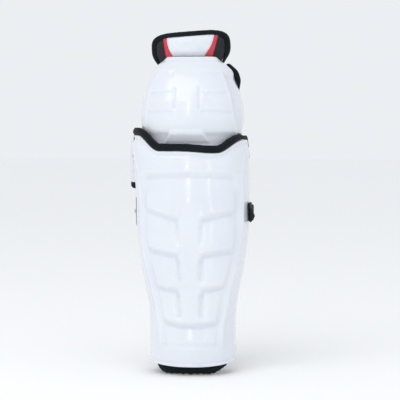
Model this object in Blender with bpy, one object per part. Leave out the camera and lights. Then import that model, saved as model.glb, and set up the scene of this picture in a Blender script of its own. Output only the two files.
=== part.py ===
"""Hockey shin guard for the left leg: a moulded shin shell with a padded liner, a knee cap that rocks on
two side rivets, a padded thigh flap, a calf wing and two elastic straps with hook-and-loop ends.

Metres, +Z up. The guard stands on its foot cuff and faces -Y. The origin is under its middle, on the floor.
"""

import math

import bmesh
import bpy
import numpy as np
from mathutils import Matrix, Vector

# Driving dimensions.
SHELL_WALL = 0.003
CAP_WALL = 0.0028
GAP = 0.0004
ROUNDNESS = 2 / 2.3  # exponent of the superellipse that bends the shells
BEND = 0.8  # share of a shell's run that is its bend; the rest is the straight sides
SHELL_GRID = (26, 14)

# Height, half width, front, end of the bend and rear edge of each moulding.
SHELL = [
    (0.000, 0.0580, -0.0500, 0.000, 0.010),
    (0.045, 0.0590, -0.0520, 0.000, 0.014),
    (0.090, 0.0605, -0.0545, 0.000, 0.018),
    (0.135, 0.0690, -0.0590, 0.000, 0.020),
    (0.190, 0.0765, -0.0655, 0.000, 0.018),
    (0.240, 0.0775, -0.0690, 0.000, 0.014),
    (0.300, 0.0765, -0.0710, 0.000, 0.010),
    (0.340, 0.0720, -0.0710, 0.000, 0.008),
]
CAP = [
    (0.280, 0.0640, -0.0566, 0.000, 0.011),
    (0.300, 0.0645, -0.0600, 0.000, 0.012),
    (0.317, 0.0675, -0.0580, 0.000, 0.013),
    (0.333, 0.0705, -0.0660, 0.000, 0.016),
    (0.352, 0.0725, -0.0700, 0.000, 0.018),
    (0.378, 0.0695, -0.0680, -0.002, 0.012),
    (0.400, 0.0615, -0.0590, -0.006, 0.002),
    (0.415, 0.0540, -0.0490, -0.010, -0.007),
    (0.425, 0.0430, -0.0390, -0.014, -0.0125),
    (0.432, 0.0330, -0.0300, -0.018, -0.0165),
]
CAP_BOTTOM, CAP_TOP = 0.283, 0.432

# The shin shell's edges.
EDGE_FRONT = 0.305
PEAK_RIGHT, PEAK_LEFT = 0.015, 0.021
PEAK_FROM, PEAK_TO = 0.040, 0.074
REAR_DROP = 0.022
DIP, DIP_AT, DIP_WIDTH = 0.0026, 0.032, 0.024
HEM_FRONT, HEM_SIDE, HEM_REAR = 0.012, 0.004, 0.016
FLARE, FLARE_FROM, FLARE_TO = 0.006, 0.230, 0.320
ROLL_RADIUS, ROLL_THIN = 0.0048, 0.0026
ROLL_THINS_FROM, ROLL_THINS_OVER = 0.45, 0.25

# Depths of the layers inside the shin shell, from its outer face.
HOOK_STRIP = (SHELL_WALL + 0.0007, SHELL_WALL + 0.0017)
FOAM = (0.0056, 0.0140)
COVER = (0.0144, 0.0156)
CALF_PAD = (0.0170, 0.0228)
FOOT_CUFF = (0.0085, 0.0175)

# How far the liner's parts reach, as runs u and heights.
LINER_RUN, CUFF_RUN = 0.985, 0.96
CUFF_TOP, FOAM_TOP = 0.020, 0.272
CUFF_CORNER, CORNER_FROM, CORNER_OVER = 0.007, 0.80, 0.18
PAD_MIDDLES, PAD_HALF_RUN, PAD_HEIGHTS = (-0.40, 0.0, 0.40), 0.17, (0.050, 0.250)
HOOK_RUN, HOOK_BOTTOMS, HOOK_HEIGHT = 0.4, (0.060, 0.200), 0.025

# Depths of the layers inside the knee cap.
KNEE_FOAM = (CAP_WALL + 0.001, 0.0132)
KNEE_COVER = (0.0136, 0.0148)
KNEE_LINER_RUN, KNEE_FOAM_BOTTOM, KNEE_FOAM_TOP = 0.93, 0.318, 0.402
KNEE_ROLL_RADIUS, KNEE_ROLL_BEHIND, KNEE_ROLL_LOW = 0.0045, 0.0068, 0.322
KNEE_ROLL_TOP = {"left": 0.4040, "right": 0.4160}
KNEE_ROLL_INSET = {"left": (0.0060, 0.0040), "right": (0.0060, 0.0010)}
KNEE_ROLL_SHIFTS = (0.385, 0.405)
TONGUE = (CAP_WALL + 0.0007, CAP_WALL + 0.0019)
TONGUE_RUN, TONGUE_HEIGHTS = 0.42, (0.4050, 0.4310)

# The thigh flap: a shield in its own plane, h above its fold line, then bent and tilted.
FLAP_MIDDLE = Vector((-0.003, 0, 0.446))
FLAP_TILT = math.radians(4.2)
FLAP_FRONT = -0.0205
FLAP_CURL, FLAP_LEAN = 0.021, 0.10
FLAP_HALF, FLAP_SHOULDER, FLAP_TAPER = 0.0540, 0.0140, 0.0110
FLAP_LOW, FLAP_RISE, FLAP_BLUNT, FLAP_CORNER = -0.0140, 0.0232, 0.0004, 4.5
FLAP_BINDING_RADIUS = 0.0034
CORE_SHRINK = 2 * FLAP_BINDING_RADIUS + 2 * GAP
FLAP_SIDE_DROP, SEAM = 0.0020, 0.0003
FLAP_SKIN, FLAP_FOAM, FLAP_LINING = (0.0, 0.0015), (0.0019, 0.0095), (0.0099, 0.0111)
WHITE_EDGE = [(-0.020, 0.016), (0.0025, 0.0212), (0.015, 0.0285), (0.040, 0.0345)]
RED_EDGE = [(-0.020, 0.026), (0.0025, 0.0320), (0.015, 0.0350), (0.040, 0.0395)]

# The calf wing, as a Bezier path seen from above and the heights of its panel.
WING_PATH = [(-0.0825, 0.0170), (-0.0950, 0.0210), (-0.0900, 0.0420), (-0.0750, 0.0570)]
WING_BOTTOM, WING_TOP, WING_ROUNDING = 0.2600, 0.3150, 0.012
WING_SKIN, WING_FOAM, WING_LINING = (0.0, 0.0014), (0.0018, 0.0062), (0.0066, 0.0078)
WING_BINDING_RADIUS = 0.0041
WING_REACH, BINDING_REACH, REAR_REACH = 0.82, 0.88, 0.99
HINGE_Y, HINGE_Z, HINGE_HEIGHTS = 0.0100, 0.285, (0.2560, 0.2935)

# The calf strap, which hangs on its left fold and peels at its right one, and the ankle band.
STRAP_Z, STRAP_WIDTH, STRAP_THICK = 0.221, 0.038, 0.0018
STRAP_LIFT = 0.0022  # from the shell's side to the webbing's inner face
STRAP_REAR, STRAP_FOLD, LOOP_BEND = 0.0715, 0.0205, 0.0280
ANCHOR_FRONT = -0.0140
PATCH, PATCH_REAR, PATCH_HALF = (0.0005, 0.0017), 0.0120, 0.0122
TAB_HALF, TAB_FRONT, PULL_LENGTH, PULL_FLARE = 0.0130, -0.0110, 0.0110, 0.0070
BAND_HEIGHTS, BAND_REAR, BAND_ENDS = (0.086, 0.114), 0.0620, 0.0060

# Rivets.
PIN_RADIUS, HEAD_RADIUS, HEAD_THICK = 0.0025, 0.0055, 0.0012
HOLE_RADIUS, HEAD_GAP = 0.0029, 0.0009
SMALL_PIN, SMALL_HEAD, SMALL_HOLE = 0.0016, 0.0038, 0.0020
KNEE_AXIS_Z = 0.300
WING_RIVETS, WING_RIVET_Y = (0.2780, 0.2890), 0.0020
RIVET_Y, DRILL_PAST, CUTTER_REACH = -0.0040, 0.0030, 0.1
RIVET_SIDES = 12

# Joint axes.
PIVOTS = {
    "shin": (0, 0, 0),
    "knee": (0, 0, KNEE_AXIS_Z),
    "flap": (0, -0.0150, 0.430),
    "wing": (-0.0800, 0.0140, 0.285),
    "strap": (-0.0817, STRAP_FOLD, STRAP_Z),
    "tab": (0.0817, STRAP_FOLD, STRAP_Z),
}

COLORS = {
    "white_shell": ((0.86, 0.89, 0.93), 0.16, 0.0),
    "white_vinyl": ((0.82, 0.85, 0.89), 0.38, 0.0),
    "black_fabric": ((0.012, 0.016, 0.019), 0.85, 0.0),
    "black_vinyl": ((0.020, 0.028, 0.032), 0.45, 0.0),
    "lining": ((0.030, 0.034, 0.038), 0.90, 0.0),
    "foam": ((0.16, 0.17, 0.18), 0.95, 0.0),
    "red_vinyl": ((0.66, 0.035, 0.065), 0.42, 0.0),
    "hook_loop": ((0.010, 0.011, 0.013), 0.95, 0.0),
    "elastic": ((0.014, 0.016, 0.018), 0.80, 0.0),
    "rivet_steel": ((0.60, 0.61, 0.63), 0.30, 1.0),
    "white_washer": ((0.75, 0.77, 0.79), 0.40, 0.0),
}


def mix(start, end, share):
    return start + (end - start) * share


def ease(value):
    """0 below 0, 1 above 1, and smooth between."""
    value = min(max(value, 0.0), 1.0)
    return value * value * (3 - 2 * value)


def along(stations, height):
    """The values at a height, on a smooth curve through stations that each hold a height and its values."""
    heights = np.array([row[0] for row in stations])
    values = np.array([row[1:] for row in stations])
    slopes = np.gradient(values, heights, axis=0)
    height = min(max(height, heights[0]), heights[-1])
    i = min(int(np.searchsorted(heights, height, side="right")) - 1, len(heights) - 2)
    span = heights[i + 1] - heights[i]
    t = (height - heights[i]) / span
    rise, ease_out = t * t * (3 - 2 * t), t * (1 - t) ** 2
    ease_in = t * t * (t - 1)
    return mix(values[i], values[i + 1], rise) + span * (ease_out * slopes[i] + ease_in * slopes[i + 1])


def u_outline(u, width, front, bend_end, rear):
    """The point at u, from -1 on the left to 1 on the right, of a U that opens towards +Y."""
    side, turn = math.copysign(1, u), abs(u) / BEND
    if turn >= 1:
        return side * width, mix(bend_end, rear, (turn - 1) / (1 / BEND - 1))
    angle = turn * math.pi / 2
    x = side * width * math.sin(angle) ** ROUNDNESS
    return x, bend_end + (front - bend_end) * math.cos(angle) ** ROUNDNESS


def shell_point(u, z, inset=0.0):
    """A point of the shin shell, inset from its outer face."""
    width, front, bend_end, rear = along(SHELL, z)
    if u < 0:
        width += FLARE * ease((z - FLARE_FROM) / (FLARE_TO - FLARE_FROM))
    x, y = u_outline(u, width - inset, front + inset, bend_end, rear)
    return Vector((x, y, z))


def cap_point(u, z, inset=0.0):
    """A point of the knee cap, inset from its outer face."""
    width, front, bend_end, rear = along(CAP, z)
    x, y = u_outline(u, width - inset, front + inset, bend_end, rear)
    return Vector((x, y, z))


def shell_top(u):
    """Height of the shin shell's top edge: low in front, a peak at each side, and lower at the rear."""
    peak = PEAK_LEFT if u < 0 else PEAK_RIGHT
    x = shell_point(u, EDGE_FRONT).x
    drop = ease((abs(u) / BEND - 1) / (1 / BEND - 1))
    dip = DIP * math.exp(-(((x - DIP_AT) / DIP_WIDTH) ** 2))
    return EDGE_FRONT + peak * ease((abs(x) - PEAK_FROM) / (PEAK_TO - PEAK_FROM)) - REAR_DROP * drop - dip


def shell_hem(u):
    """Height of the shin shell's bottom edge."""
    turn = abs(u) / BEND
    return HEM_FRONT + HEM_SIDE * ease(turn) + HEM_REAR * ease((turn - 1) / (1 / BEND - 1))


def area(point, left, right, bottom, top):
    """The part of a surface between two runs and two heights, as a surface of its own."""

    def surface(u, v, inset):
        return point(mix(left, right, (u + 1) / 2), mix(bottom, top, v), inset)

    return surface


def material(name):
    """The named material, made on first use."""
    found = bpy.data.materials.get(name)
    if found:
        return found
    color, roughness, metallic = COLORS[name]
    made = bpy.data.materials.new(name)
    made.use_nodes = True
    shader = made.node_tree.nodes["Principled BSDF"]
    shader.inputs["Base Color"].default_value = (*color, 1)
    shader.inputs["Roughness"].default_value = roughness
    shader.inputs["Metallic"].default_value = metallic
    made.diffuse_color = (*color, 1)
    return made


def add(name, data, look, pivot):
    """An object on the joint axis called pivot. Its data is already measured from that axis."""
    made = bpy.data.objects.new(name, data)
    bpy.context.scene.collection.objects.link(made)
    made.parent = bpy.data.objects[pivot + "_axis"]
    data.materials.append(material(look))
    return made


def add_mesh(name, bm, look, pivot):
    """Turns a bmesh in world coordinates into an object whose origin is on its joint axis."""
    bmesh.ops.recalc_face_normals(bm, faces=bm.faces)
    if bm.calc_volume(signed=True) < 0:
        bmesh.ops.reverse_faces(bm, faces=bm.faces)
    bmesh.ops.translate(bm, verts=bm.verts, vec=-Vector(PIVOTS[pivot]))
    mesh = bpy.data.meshes.new(name)
    bm.to_mesh(mesh)
    bm.free()
    mesh.shade_smooth()
    mesh.set_sharp_from_angle(angle=math.radians(40))
    return add(name, mesh, look, pivot)


def slab(name, surface, size, depths, look, pivot):
    """A closed sheet that fills a surface between two depths, on a grid of size columns and rows."""
    bm = bmesh.new()
    bmesh.ops.create_grid(bm, x_segments=size[0], y_segments=size[1], size=1)
    raised = bmesh.ops.extrude_face_region(bm, geom=bm.faces[:], use_keep_orig=True)["geom"]
    outer = {item for item in raised if isinstance(item, bmesh.types.BMVert)}
    for vert in bm.verts:
        inset = depths[0] if vert in outer else depths[1]
        vert.co = surface(vert.co.x, (vert.co.y + 1) / 2, inset)
    return add_mesh(name, bm, look, pivot)


def tube(name, points, radius, look, pivot, radii=None):
    """A round bead along points in world coordinates. radii scale it at each point."""
    curve = bpy.data.curves.new(name, "CURVE")
    curve.dimensions = "3D"
    curve.bevel_depth = radius
    curve.bevel_resolution = 2
    curve.use_fill_caps = True
    spline = curve.splines.new("POLY")
    spline.points.add(len(points) - 1)
    for target, point, scale in zip(spline.points, points, radii or [1.0] * len(points)):
        target.co = (*(point - Vector(PIVOTS[pivot])), 1)
        target.radius = scale
    return add(name, curve, look, pivot)


def turned(bm, profile):
    """Spins a profile of (radius, height) points round Z into a closed solid."""
    verts = [bm.verts.new((radius, 0, height)) for radius, height in profile]
    edges = [bm.edges.new(pair) for pair in zip(verts, verts[1:])]
    turn = {"cent": (0, 0, 0), "axis": (0, 0, 1), "angle": math.tau, "steps": RIVET_SIDES}
    bmesh.ops.spin(bm, geom=verts + edges, use_merge=True, **turn)
    bmesh.ops.remove_doubles(bm, verts=bm.verts, dist=1e-6)


def aim(place, direction):
    """The matrix that puts local Z along a direction at a place."""
    return Matrix.Translation(place) @ direction.to_track_quat("Z", "Y").to_matrix().to_4x4()


def rivet(name, start, end, pin, head, pivot):
    """A rivet whose heads sit just outside start and end."""
    length = (end - start).length
    profile = [
        (0, -HEAD_THICK),
        (head * 0.8, -HEAD_THICK),
        (head, -HEAD_THICK / 2),
        (head, 0),
        (pin, 0),
        (pin, length),
        (head, length),
        (head, length + HEAD_THICK / 2),
        (head * 0.8, length + HEAD_THICK),
        (0, length + HEAD_THICK),
    ]
    bm = bmesh.new()
    turned(bm, profile)
    bmesh.ops.transform(bm, verts=bm.verts, matrix=aim(start, end - start))
    return add_mesh(name, bm, "rivet_steel", pivot)


def washer(name, start, end, radius, pivot):
    """A ring round the hole radius, from start to end."""
    length = (end - start).length
    ring = [(HOLE_RADIUS, 0), (radius, 0), (radius, length), (HOLE_RADIUS, length), (HOLE_RADIUS, 0)]
    bm = bmesh.new()
    turned(bm, ring)
    bmesh.ops.transform(bm, verts=bm.verts, matrix=aim(start, end - start))
    return add_mesh(name, bm, "white_washer", pivot)


def drill(name, start, end, radius, targets):
    """Cuts a round hole from start to end through the targets."""
    bm = bmesh.new()
    cone = {"radius1": radius, "radius2": radius, "depth": (end - start).length}
    bmesh.ops.create_cone(bm, cap_ends=True, segments=RIVET_SIDES, **cone)
    bmesh.ops.transform(bm, verts=bm.verts, matrix=aim((start + end) / 2, end - start))
    cutter = add_mesh(name, bm, "rivet_steel", "shin")
    cutter.hide_render = True
    cutter.display_type = "WIRE"
    for target in targets:
        cut = target.modifiers.new(name, "BOOLEAN")
        cut.operation = "DIFFERENCE"
        cut.object = cutter


def outward(u, z):
    """The direction straight out of the shin shell's face."""
    step = 0.002
    u = math.copysign(min(abs(u), 1 - step), u)
    run = shell_point(u + step, z) - shell_point(u - step, z)
    climb = shell_point(u, z + step) - shell_point(u, z - step)
    return run.cross(climb).normalized()


def run_at(side, y, z):
    """The shell's run u on one side where its face reaches y, in the straight part or the bend."""
    low, high = 0.0, 1.0
    for _ in range(40):
        middle = (low + high) / 2
        if shell_point(side * middle, z).y < y:
            low = middle
        else:
            high = middle
    return side * low


def make_shin_shell():
    def surface(u, v, inset):
        return shell_point(u, mix(shell_hem(u), shell_top(u), v), inset)

    return slab("shin_shell", surface, SHELL_GRID, (0, SHELL_WALL), "white_shell", "shin")


def roll_radius(u):
    """The edge roll is thick in front and on the left, and thin beside the knee cap on the right."""
    return mix(ROLL_RADIUS, ROLL_THIN, ease((u - ROLL_THINS_FROM) / ROLL_THINS_OVER))


def make_edge_roll():
    """The liner's padded edge, which sits on the shin shell's top edge from one rear corner to the other."""
    points, radii = [], []
    for u in np.linspace(-1, 1, SHELL_GRID[0] + 1):
        ahead, behind = min(u + 0.01, 1), max(u - 0.01, -1)
        travel = shell_point(ahead, shell_top(ahead)) - shell_point(behind, shell_top(behind))
        z = shell_top(u)
        lift = outward(u, z).cross(travel).normalized()
        radius = roll_radius(u)
        lift *= math.copysign(1 + 3 * GAP / radius, lift.z)
        points.append(shell_point(u, z, SHELL_WALL / 2) + lift * radius)
        radii.append(radius / ROLL_RADIUS)
    tube("shin_edge_roll", points, ROLL_RADIUS, "black_fabric", "shin", radii)


def make_shin_liner():
    foam = area(shell_point, -LINER_RUN, LINER_RUN, CUFF_TOP + GAP, FOAM_TOP)
    slab("shin_liner_foam", foam, (18, 9), FOAM, "foam", "shin")
    slab("shin_liner_cover", foam, (18, 9), COVER, "lining", "shin")
    for name, middle in zip(("left", "center", "right"), PAD_MIDDLES):
        pad = area(shell_point, middle - PAD_HALF_RUN, middle + PAD_HALF_RUN, *PAD_HEIGHTS)
        slab("calf_pad_" + name, pad, (4, 5), CALF_PAD, "lining", "shin")
    for name, bottom in zip(("lower", "upper"), HOOK_BOTTOMS):
        strip = area(shell_point, -HOOK_RUN, HOOK_RUN, bottom, bottom + HOOK_HEIGHT)
        slab("liner_hook_strip_" + name, strip, (10, 1), HOOK_STRIP, "hook_loop", "shin")


def make_foot_cuff():
    def surface(u, v, inset):
        corner = CUFF_CORNER * ease((abs(u) - CORNER_FROM) / CORNER_OVER) * (1 - v)
        return shell_point(CUFF_RUN * u, mix(0, CUFF_TOP, v) + corner, inset)

    slab("liner_foot_cuff", surface, (20, 2), FOOT_CUFF, "black_fabric", "shin")


def make_knee_cap():
    cap = area(cap_point, -1, 1, CAP_BOTTOM, CAP_TOP)
    made = slab("knee_cap_shell", cap, (24, 15), (0, CAP_WALL), "white_shell", "knee")
    foam = area(cap_point, -KNEE_LINER_RUN, KNEE_LINER_RUN, KNEE_FOAM_BOTTOM, KNEE_FOAM_TOP)
    slab("knee_liner_foam", foam, (16, 6), KNEE_FOAM, "foam", "knee")
    slab("knee_liner_cover", foam, (16, 6), KNEE_COVER, "lining", "knee")
    tongue = area(cap_point, -TONGUE_RUN, TONGUE_RUN, *TONGUE_HEIGHTS)
    slab("flap_hinge_strip", tongue, (8, 3), TONGUE, "elastic", "knee")
    for name, side in (("left", -1), ("right", 1)):
        make_knee_roll(name, side)
    return made


def make_knee_roll(name, side):
    """The liner's padded edge behind one side of the cap. It shows past the cap near the top."""
    start, end = KNEE_ROLL_SHIFTS
    points = []
    for z in np.linspace(KNEE_ROLL_LOW, KNEE_ROLL_TOP[name], 10):
        width, _, _, rear = along(CAP, z)
        inset = mix(*KNEE_ROLL_INSET[name], ease((z - start) / (end - start)))
        points.append(Vector((side * (width - inset), rear + KNEE_ROLL_BEHIND, z)))
    tube("knee_edge_roll_" + name, points, KNEE_ROLL_RADIUS, "black_fabric", "knee")


def make_knee_pivots(shell, cap):
    """The two rivets that the knee cap rocks on, each with a spacer between cap and shell."""
    level, reach = Vector((0, 0, KNEE_AXIS_Z)), Vector((CUTTER_REACH, 0, 0))
    drill("knee_pivot_cutter", level - reach, level + reach, HOLE_RADIUS, [shell, cap])
    for name, side in (("left", -1), ("right", 1)):
        out = Vector((side, 0, 0))
        cap_face = abs(cap_point(side * BEND, KNEE_AXIS_Z).x)
        shell_face = abs(shell_point(side * BEND, KNEE_AXIS_Z).x)
        inner = level + out * (cap_face - CAP_WALL - HEAD_GAP)
        outer = level + out * (shell_face + HEAD_GAP)
        rivet("knee_rivet_" + name, inner, outer, PIN_RADIUS, HEAD_RADIUS, "shin")
        washer_start = level + out * (cap_face + HEAD_GAP)
        washer_end = level + out * (shell_face - SHELL_WALL - HEAD_GAP)
        washer("knee_spacer_" + name, washer_start, washer_end, HEAD_RADIUS, "shin")


def flap_half_width(h, shrink=0.0):
    """Half the width at h above the fold line, of the flap's outline made smaller by shrink all round."""
    above = h - FLAP_SHOULDER
    half = FLAP_HALF - shrink
    if above < 0:
        return half - FLAP_TAPER * (above / (FLAP_LOW - FLAP_SHOULDER)) ** 1.6
    share = min(above / (FLAP_RISE + FLAP_BLUNT - shrink), 1)
    return half * (1 - share**FLAP_CORNER) ** (1 / FLAP_CORNER)


def flap_height(v, shrink=0.0):
    """Heights of the outline's rows, closer together near its top."""
    return mix(FLAP_LOW, FLAP_SHOULDER + FLAP_RISE - shrink, math.sin(v * math.pi / 2))


def flap_point(x, h, inset):
    """A point of the flap, from its own x and h to the tilted and curled flap in place."""
    y = FLAP_FRONT + FLAP_CURL * (x / FLAP_HALF) ** 2 + FLAP_LEAN * h + inset
    height = PIVOTS["flap"][2] + h - FLAP_MIDDLE.z
    turned_x = x * math.cos(FLAP_TILT) - height * math.sin(FLAP_TILT)
    turned_z = x * math.sin(FLAP_TILT) + height * math.cos(FLAP_TILT)
    return Vector((FLAP_MIDDLE.x + turned_x, y, FLAP_MIDDLE.z + turned_z))


def flap_core(u, v, inset):
    """The flap inside its binding."""
    h = flap_height(v, CORE_SHRINK)
    return flap_point(u * flap_half_width(h, CORE_SHRINK), h, inset)


def flap_panel(side, top, inner, outer):
    """A skin panel between two edges, each a half width at every height, on one side or across (side 0)."""

    def surface(u, v, inset):
        h = mix(FLAP_LOW, top, v)
        start, end = inner(h) + SEAM, outer(h) - SEAM
        if side == 0:
            return flap_point(u * end, h, inset)
        share = (side * u + 1) / 2
        return flap_point(side * mix(start, end, share), h, inset)

    return surface


def white_edge(h):
    return along(WHITE_EDGE, h)[0]


def red_edge(h):
    return along(RED_EDGE, h)[0]


def core_edge(h):
    return flap_half_width(h, CORE_SHRINK)


def make_thigh_flap():
    slab("flap_foam", flap_core, (12, 7), FLAP_FOAM, "foam", "flap")
    slab("flap_lining", flap_core, (12, 7), FLAP_LINING, "lining", "flap")
    top = FLAP_SHOULDER + FLAP_RISE - CORE_SHRINK
    white = flap_panel(0, top, white_edge, white_edge)
    slab("flap_white_panel", white, (8, 5), FLAP_SKIN, "white_vinyl", "flap")
    for name, side in (("left", -1), ("right", 1)):
        red = flap_panel(side, top, white_edge, red_edge)
        slab("flap_red_stripe_" + name, red, (2, 5), FLAP_SKIN, "red_vinyl", "flap")
        edge = flap_panel(side, top - FLAP_SIDE_DROP, red_edge, core_edge)
        slab("flap_side_panel_" + name, edge, (3, 5), FLAP_SKIN, "black_vinyl", "flap")
    make_flap_binding()


def make_flap_binding():
    """The bead round the flap's sides and top."""
    depth = (FLAP_SKIN[0] + FLAP_LINING[1]) / 2
    heights = [flap_height(v, FLAP_BINDING_RADIUS) for v in np.linspace(0, 1, 16)]
    right = [(flap_half_width(h, FLAP_BINDING_RADIUS), h) for h in heights]
    top_x, top_h = right[-1]
    across = [(top_x * share, top_h) for share in (0.6, 0.2, -0.2, -0.6)]
    left = [(-x, h) for x, h in reversed(right)]
    points = [flap_point(x, h, depth) for x, h in right + across + left]
    tube("flap_binding", points, FLAP_BINDING_RADIUS, "black_fabric", "flap")


def bezier(points, t):
    """A point on a cubic Bezier path seen from above, and its unit normal on the left of travel."""
    ends = [Vector(p) for p in points]
    weights = ((1 - t) ** 3, 3 * t * (1 - t) ** 2, 3 * t * t * (1 - t), t**3)
    place = sum((p * w for p, w in zip(ends, weights)), Vector((0, 0)))
    steps = [b - a for a, b in zip(ends, ends[1:])]
    travel = sum((s * w for s, w in zip(steps, ((1 - t) ** 2, 2 * t * (1 - t), t * t))), Vector((0, 0)))
    travel.normalize()
    return place, Vector((-travel.y, travel.x))


def wing_point(t, z, inset):
    """A point of the calf wing at share t of its path."""
    place, normal = bezier(WING_PATH, t)
    inner = place - normal * inset
    return Vector((inner.x, inner.y, z))


def wing_heights(t):
    """Bottom and top of the wing's panel, which narrows towards its rear."""
    rounding = WING_ROUNDING * t * t
    return WING_BOTTOM + rounding, WING_TOP - rounding


def make_calf_wing():
    def surface(u, v, inset):
        t = WING_REACH * (1 - (u + 1) / 2)
        bottom, top = wing_heights(t)
        return wing_point(t, mix(bottom, top, v), inset)

    slab("wing_skin", surface, (10, 4), WING_SKIN, "white_vinyl", "wing")
    slab("wing_foam", surface, (10, 4), WING_FOAM, "foam", "wing")
    slab("wing_lining", surface, (10, 4), WING_LINING, "lining", "wing")
    depth = WING_LINING[1] / 2
    clear = WING_BINDING_RADIUS + GAP
    runs = np.linspace(0, BINDING_REACH, 10)
    lower = [wing_point(t, wing_heights(t)[0] - clear, depth) for t in runs]
    upper = [wing_point(t, wing_heights(t)[1] + clear, depth) for t in reversed(runs)]
    rear = [wing_point(REAR_REACH, z, depth) for z in np.linspace(*wing_heights(REAR_REACH), 5)]
    tube("wing_binding", lower + rear + upper, WING_BINDING_RADIUS, "black_fabric", "wing")


def make_wing_fixing(shell):
    """The webbing hinge strip inside the shell's left rear edge and its two rivets."""
    left = run_at(-1, HINGE_Y, HINGE_Z)
    right = run_at(-1, -HINGE_Y, HINGE_Z)
    strip = area(shell_point, left, right, *HINGE_HEIGHTS)
    made = slab("wing_hinge_strip", strip, (4, 4), HOOK_STRIP, "elastic", "shin")
    for name, z in zip(("lower", "upper"), WING_RIVETS):
        u = run_at(-1, WING_RIVET_Y, z)
        out = outward(u, z)
        inner = shell_point(u, z) - out * (HOOK_STRIP[1] + GAP)
        outer = shell_point(u, z) + out * GAP
        rivet("wing_rivet_" + name, inner, outer, SMALL_PIN, SMALL_HEAD, "shin")
        start, end = inner - out * DRILL_PAST, outer + out * DRILL_PAST
        drill(f"wing_{name}_cutter", start, end, SMALL_HOLE, [shell, made])


def loop_point(u, z, lift, rear, ends, inset):
    """A point of a band round the back of the calf. u runs from -1 on the right to 1 on the left.

    The band's outer face lies lift outside the shell's sides, reaches back to rear, and ends at y = ends.
    """
    half = along(SHELL, z)[0] + lift
    x, y = u_outline(u, half - inset, -(rear - inset), -LOOP_BEND, -ends)
    return Vector((-x, -y, z))


def side_sheet(side, ys, zs, lift, flare=0.0):
    """A surface laid over one side of the shin shell between two y and two z, its face lift outside it."""

    def surface(u, v, inset):
        share = (1 + u) / 2 if side > 0 else (1 - u) / 2
        y, z = mix(*ys, share), mix(*zs, v)
        rear = along(SHELL, z)[3]
        x = shell_point(run_at(side, min(y, rear - 0.0001), z), z).x
        return Vector((x + side * (lift - inset + flare * (1 - share) ** 2), y, z))

    return surface


def make_upper_strap(shell):
    """The elastic calf strap: riveted on the left, hooked to a loop patch on the right."""
    half = STRAP_WIDTH / 2
    heights = (STRAP_Z - half, STRAP_Z + half)
    lift = STRAP_LIFT + STRAP_THICK
    layer = (0, STRAP_THICK)

    def loop(u, v, inset):
        return loop_point(u, mix(*heights, v), lift, STRAP_REAR, STRAP_FOLD + GAP, inset)

    slab("upper_strap_webbing", loop, (28, 1), layer, "elastic", "strap")
    anchor = side_sheet(-1, (ANCHOR_FRONT, STRAP_FOLD - GAP), heights, lift)
    made = slab("upper_strap_anchor", anchor, (6, 4), layer, "white_vinyl", "shin")
    fix_strap_anchor(shell, made, lift)

    patch_heights = (STRAP_Z - PATCH_HALF, STRAP_Z + PATCH_HALF)
    patch = side_sheet(1, (TAB_FRONT, PATCH_REAR), patch_heights, PATCH[1])
    slab("strap_loop_patch", patch, (5, 4), (0, PATCH[1] - PATCH[0]), "hook_loop", "shin")
    tab_heights = (STRAP_Z - TAB_HALF, STRAP_Z + TAB_HALF)
    hook = side_sheet(1, (TAB_FRONT, STRAP_FOLD - GAP), tab_heights, lift)
    slab("strap_hook_tab", hook, (6, 3), layer, "hook_loop", "tab")
    pull = side_sheet(1, (TAB_FRONT - PULL_LENGTH, TAB_FRONT - GAP), tab_heights, lift, PULL_FLARE)
    slab("strap_pull_tab", pull, (4, 3), layer, "black_vinyl", "tab")


def fix_strap_anchor(shell, anchor, lift):
    """The rivet that holds the strap's left end to the shell."""
    u = run_at(-1, RIVET_Y, STRAP_Z)
    out = outward(u, STRAP_Z)
    face = shell_point(u, STRAP_Z)
    inner = face - out * (SHELL_WALL + GAP)
    outer = face + out * (lift + 2 * GAP)
    rivet("strap_rivet", inner, outer, SMALL_PIN, SMALL_HEAD, "shin")
    drill("strap_cutter", inner - out * DRILL_PAST, outer + out * DRILL_PAST, SMALL_HOLE, [shell, anchor])


def make_lower_strap():
    """The sewn elastic ankle band, held between shell and liner at both ends."""

    def loop(u, v, inset):
        return loop_point(u, mix(*BAND_HEIGHTS, v), -HOOK_STRIP[0], BAND_REAR, BAND_ENDS, inset)

    slab("lower_strap_webbing", loop, (28, 1), (0, HOOK_STRIP[1] - HOOK_STRIP[0]), "elastic", "shin")


def make_axes():
    """An empty on each joint axis."""
    for name, place in PIVOTS.items():
        axis = bpy.data.objects.new(name + "_axis", None)
        bpy.context.scene.collection.objects.link(axis)
        axis.location = place
        axis.empty_display_size = 0.02


def main():
    for item in list(bpy.data.objects):
        bpy.data.objects.remove(item)
    make_axes()
    shell = make_shin_shell()
    make_edge_roll()
    make_shin_liner()
    make_foot_cuff()
    cap = make_knee_cap()
    make_knee_pivots(shell, cap)
    make_thigh_flap()
    make_calf_wing()
    make_wing_fixing(shell)
    make_upper_strap(shell)
    make_lower_strap()


main()
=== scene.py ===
"""Looks of the hockey shin guard: glossy white mouldings, padded black liner, thigh flap, wing and straps.

Metres, in the frame of the CAD model. The surfaces repeat the design's own stations, so that every fine piece
lies where its plain solid does.
"""

import math

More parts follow.
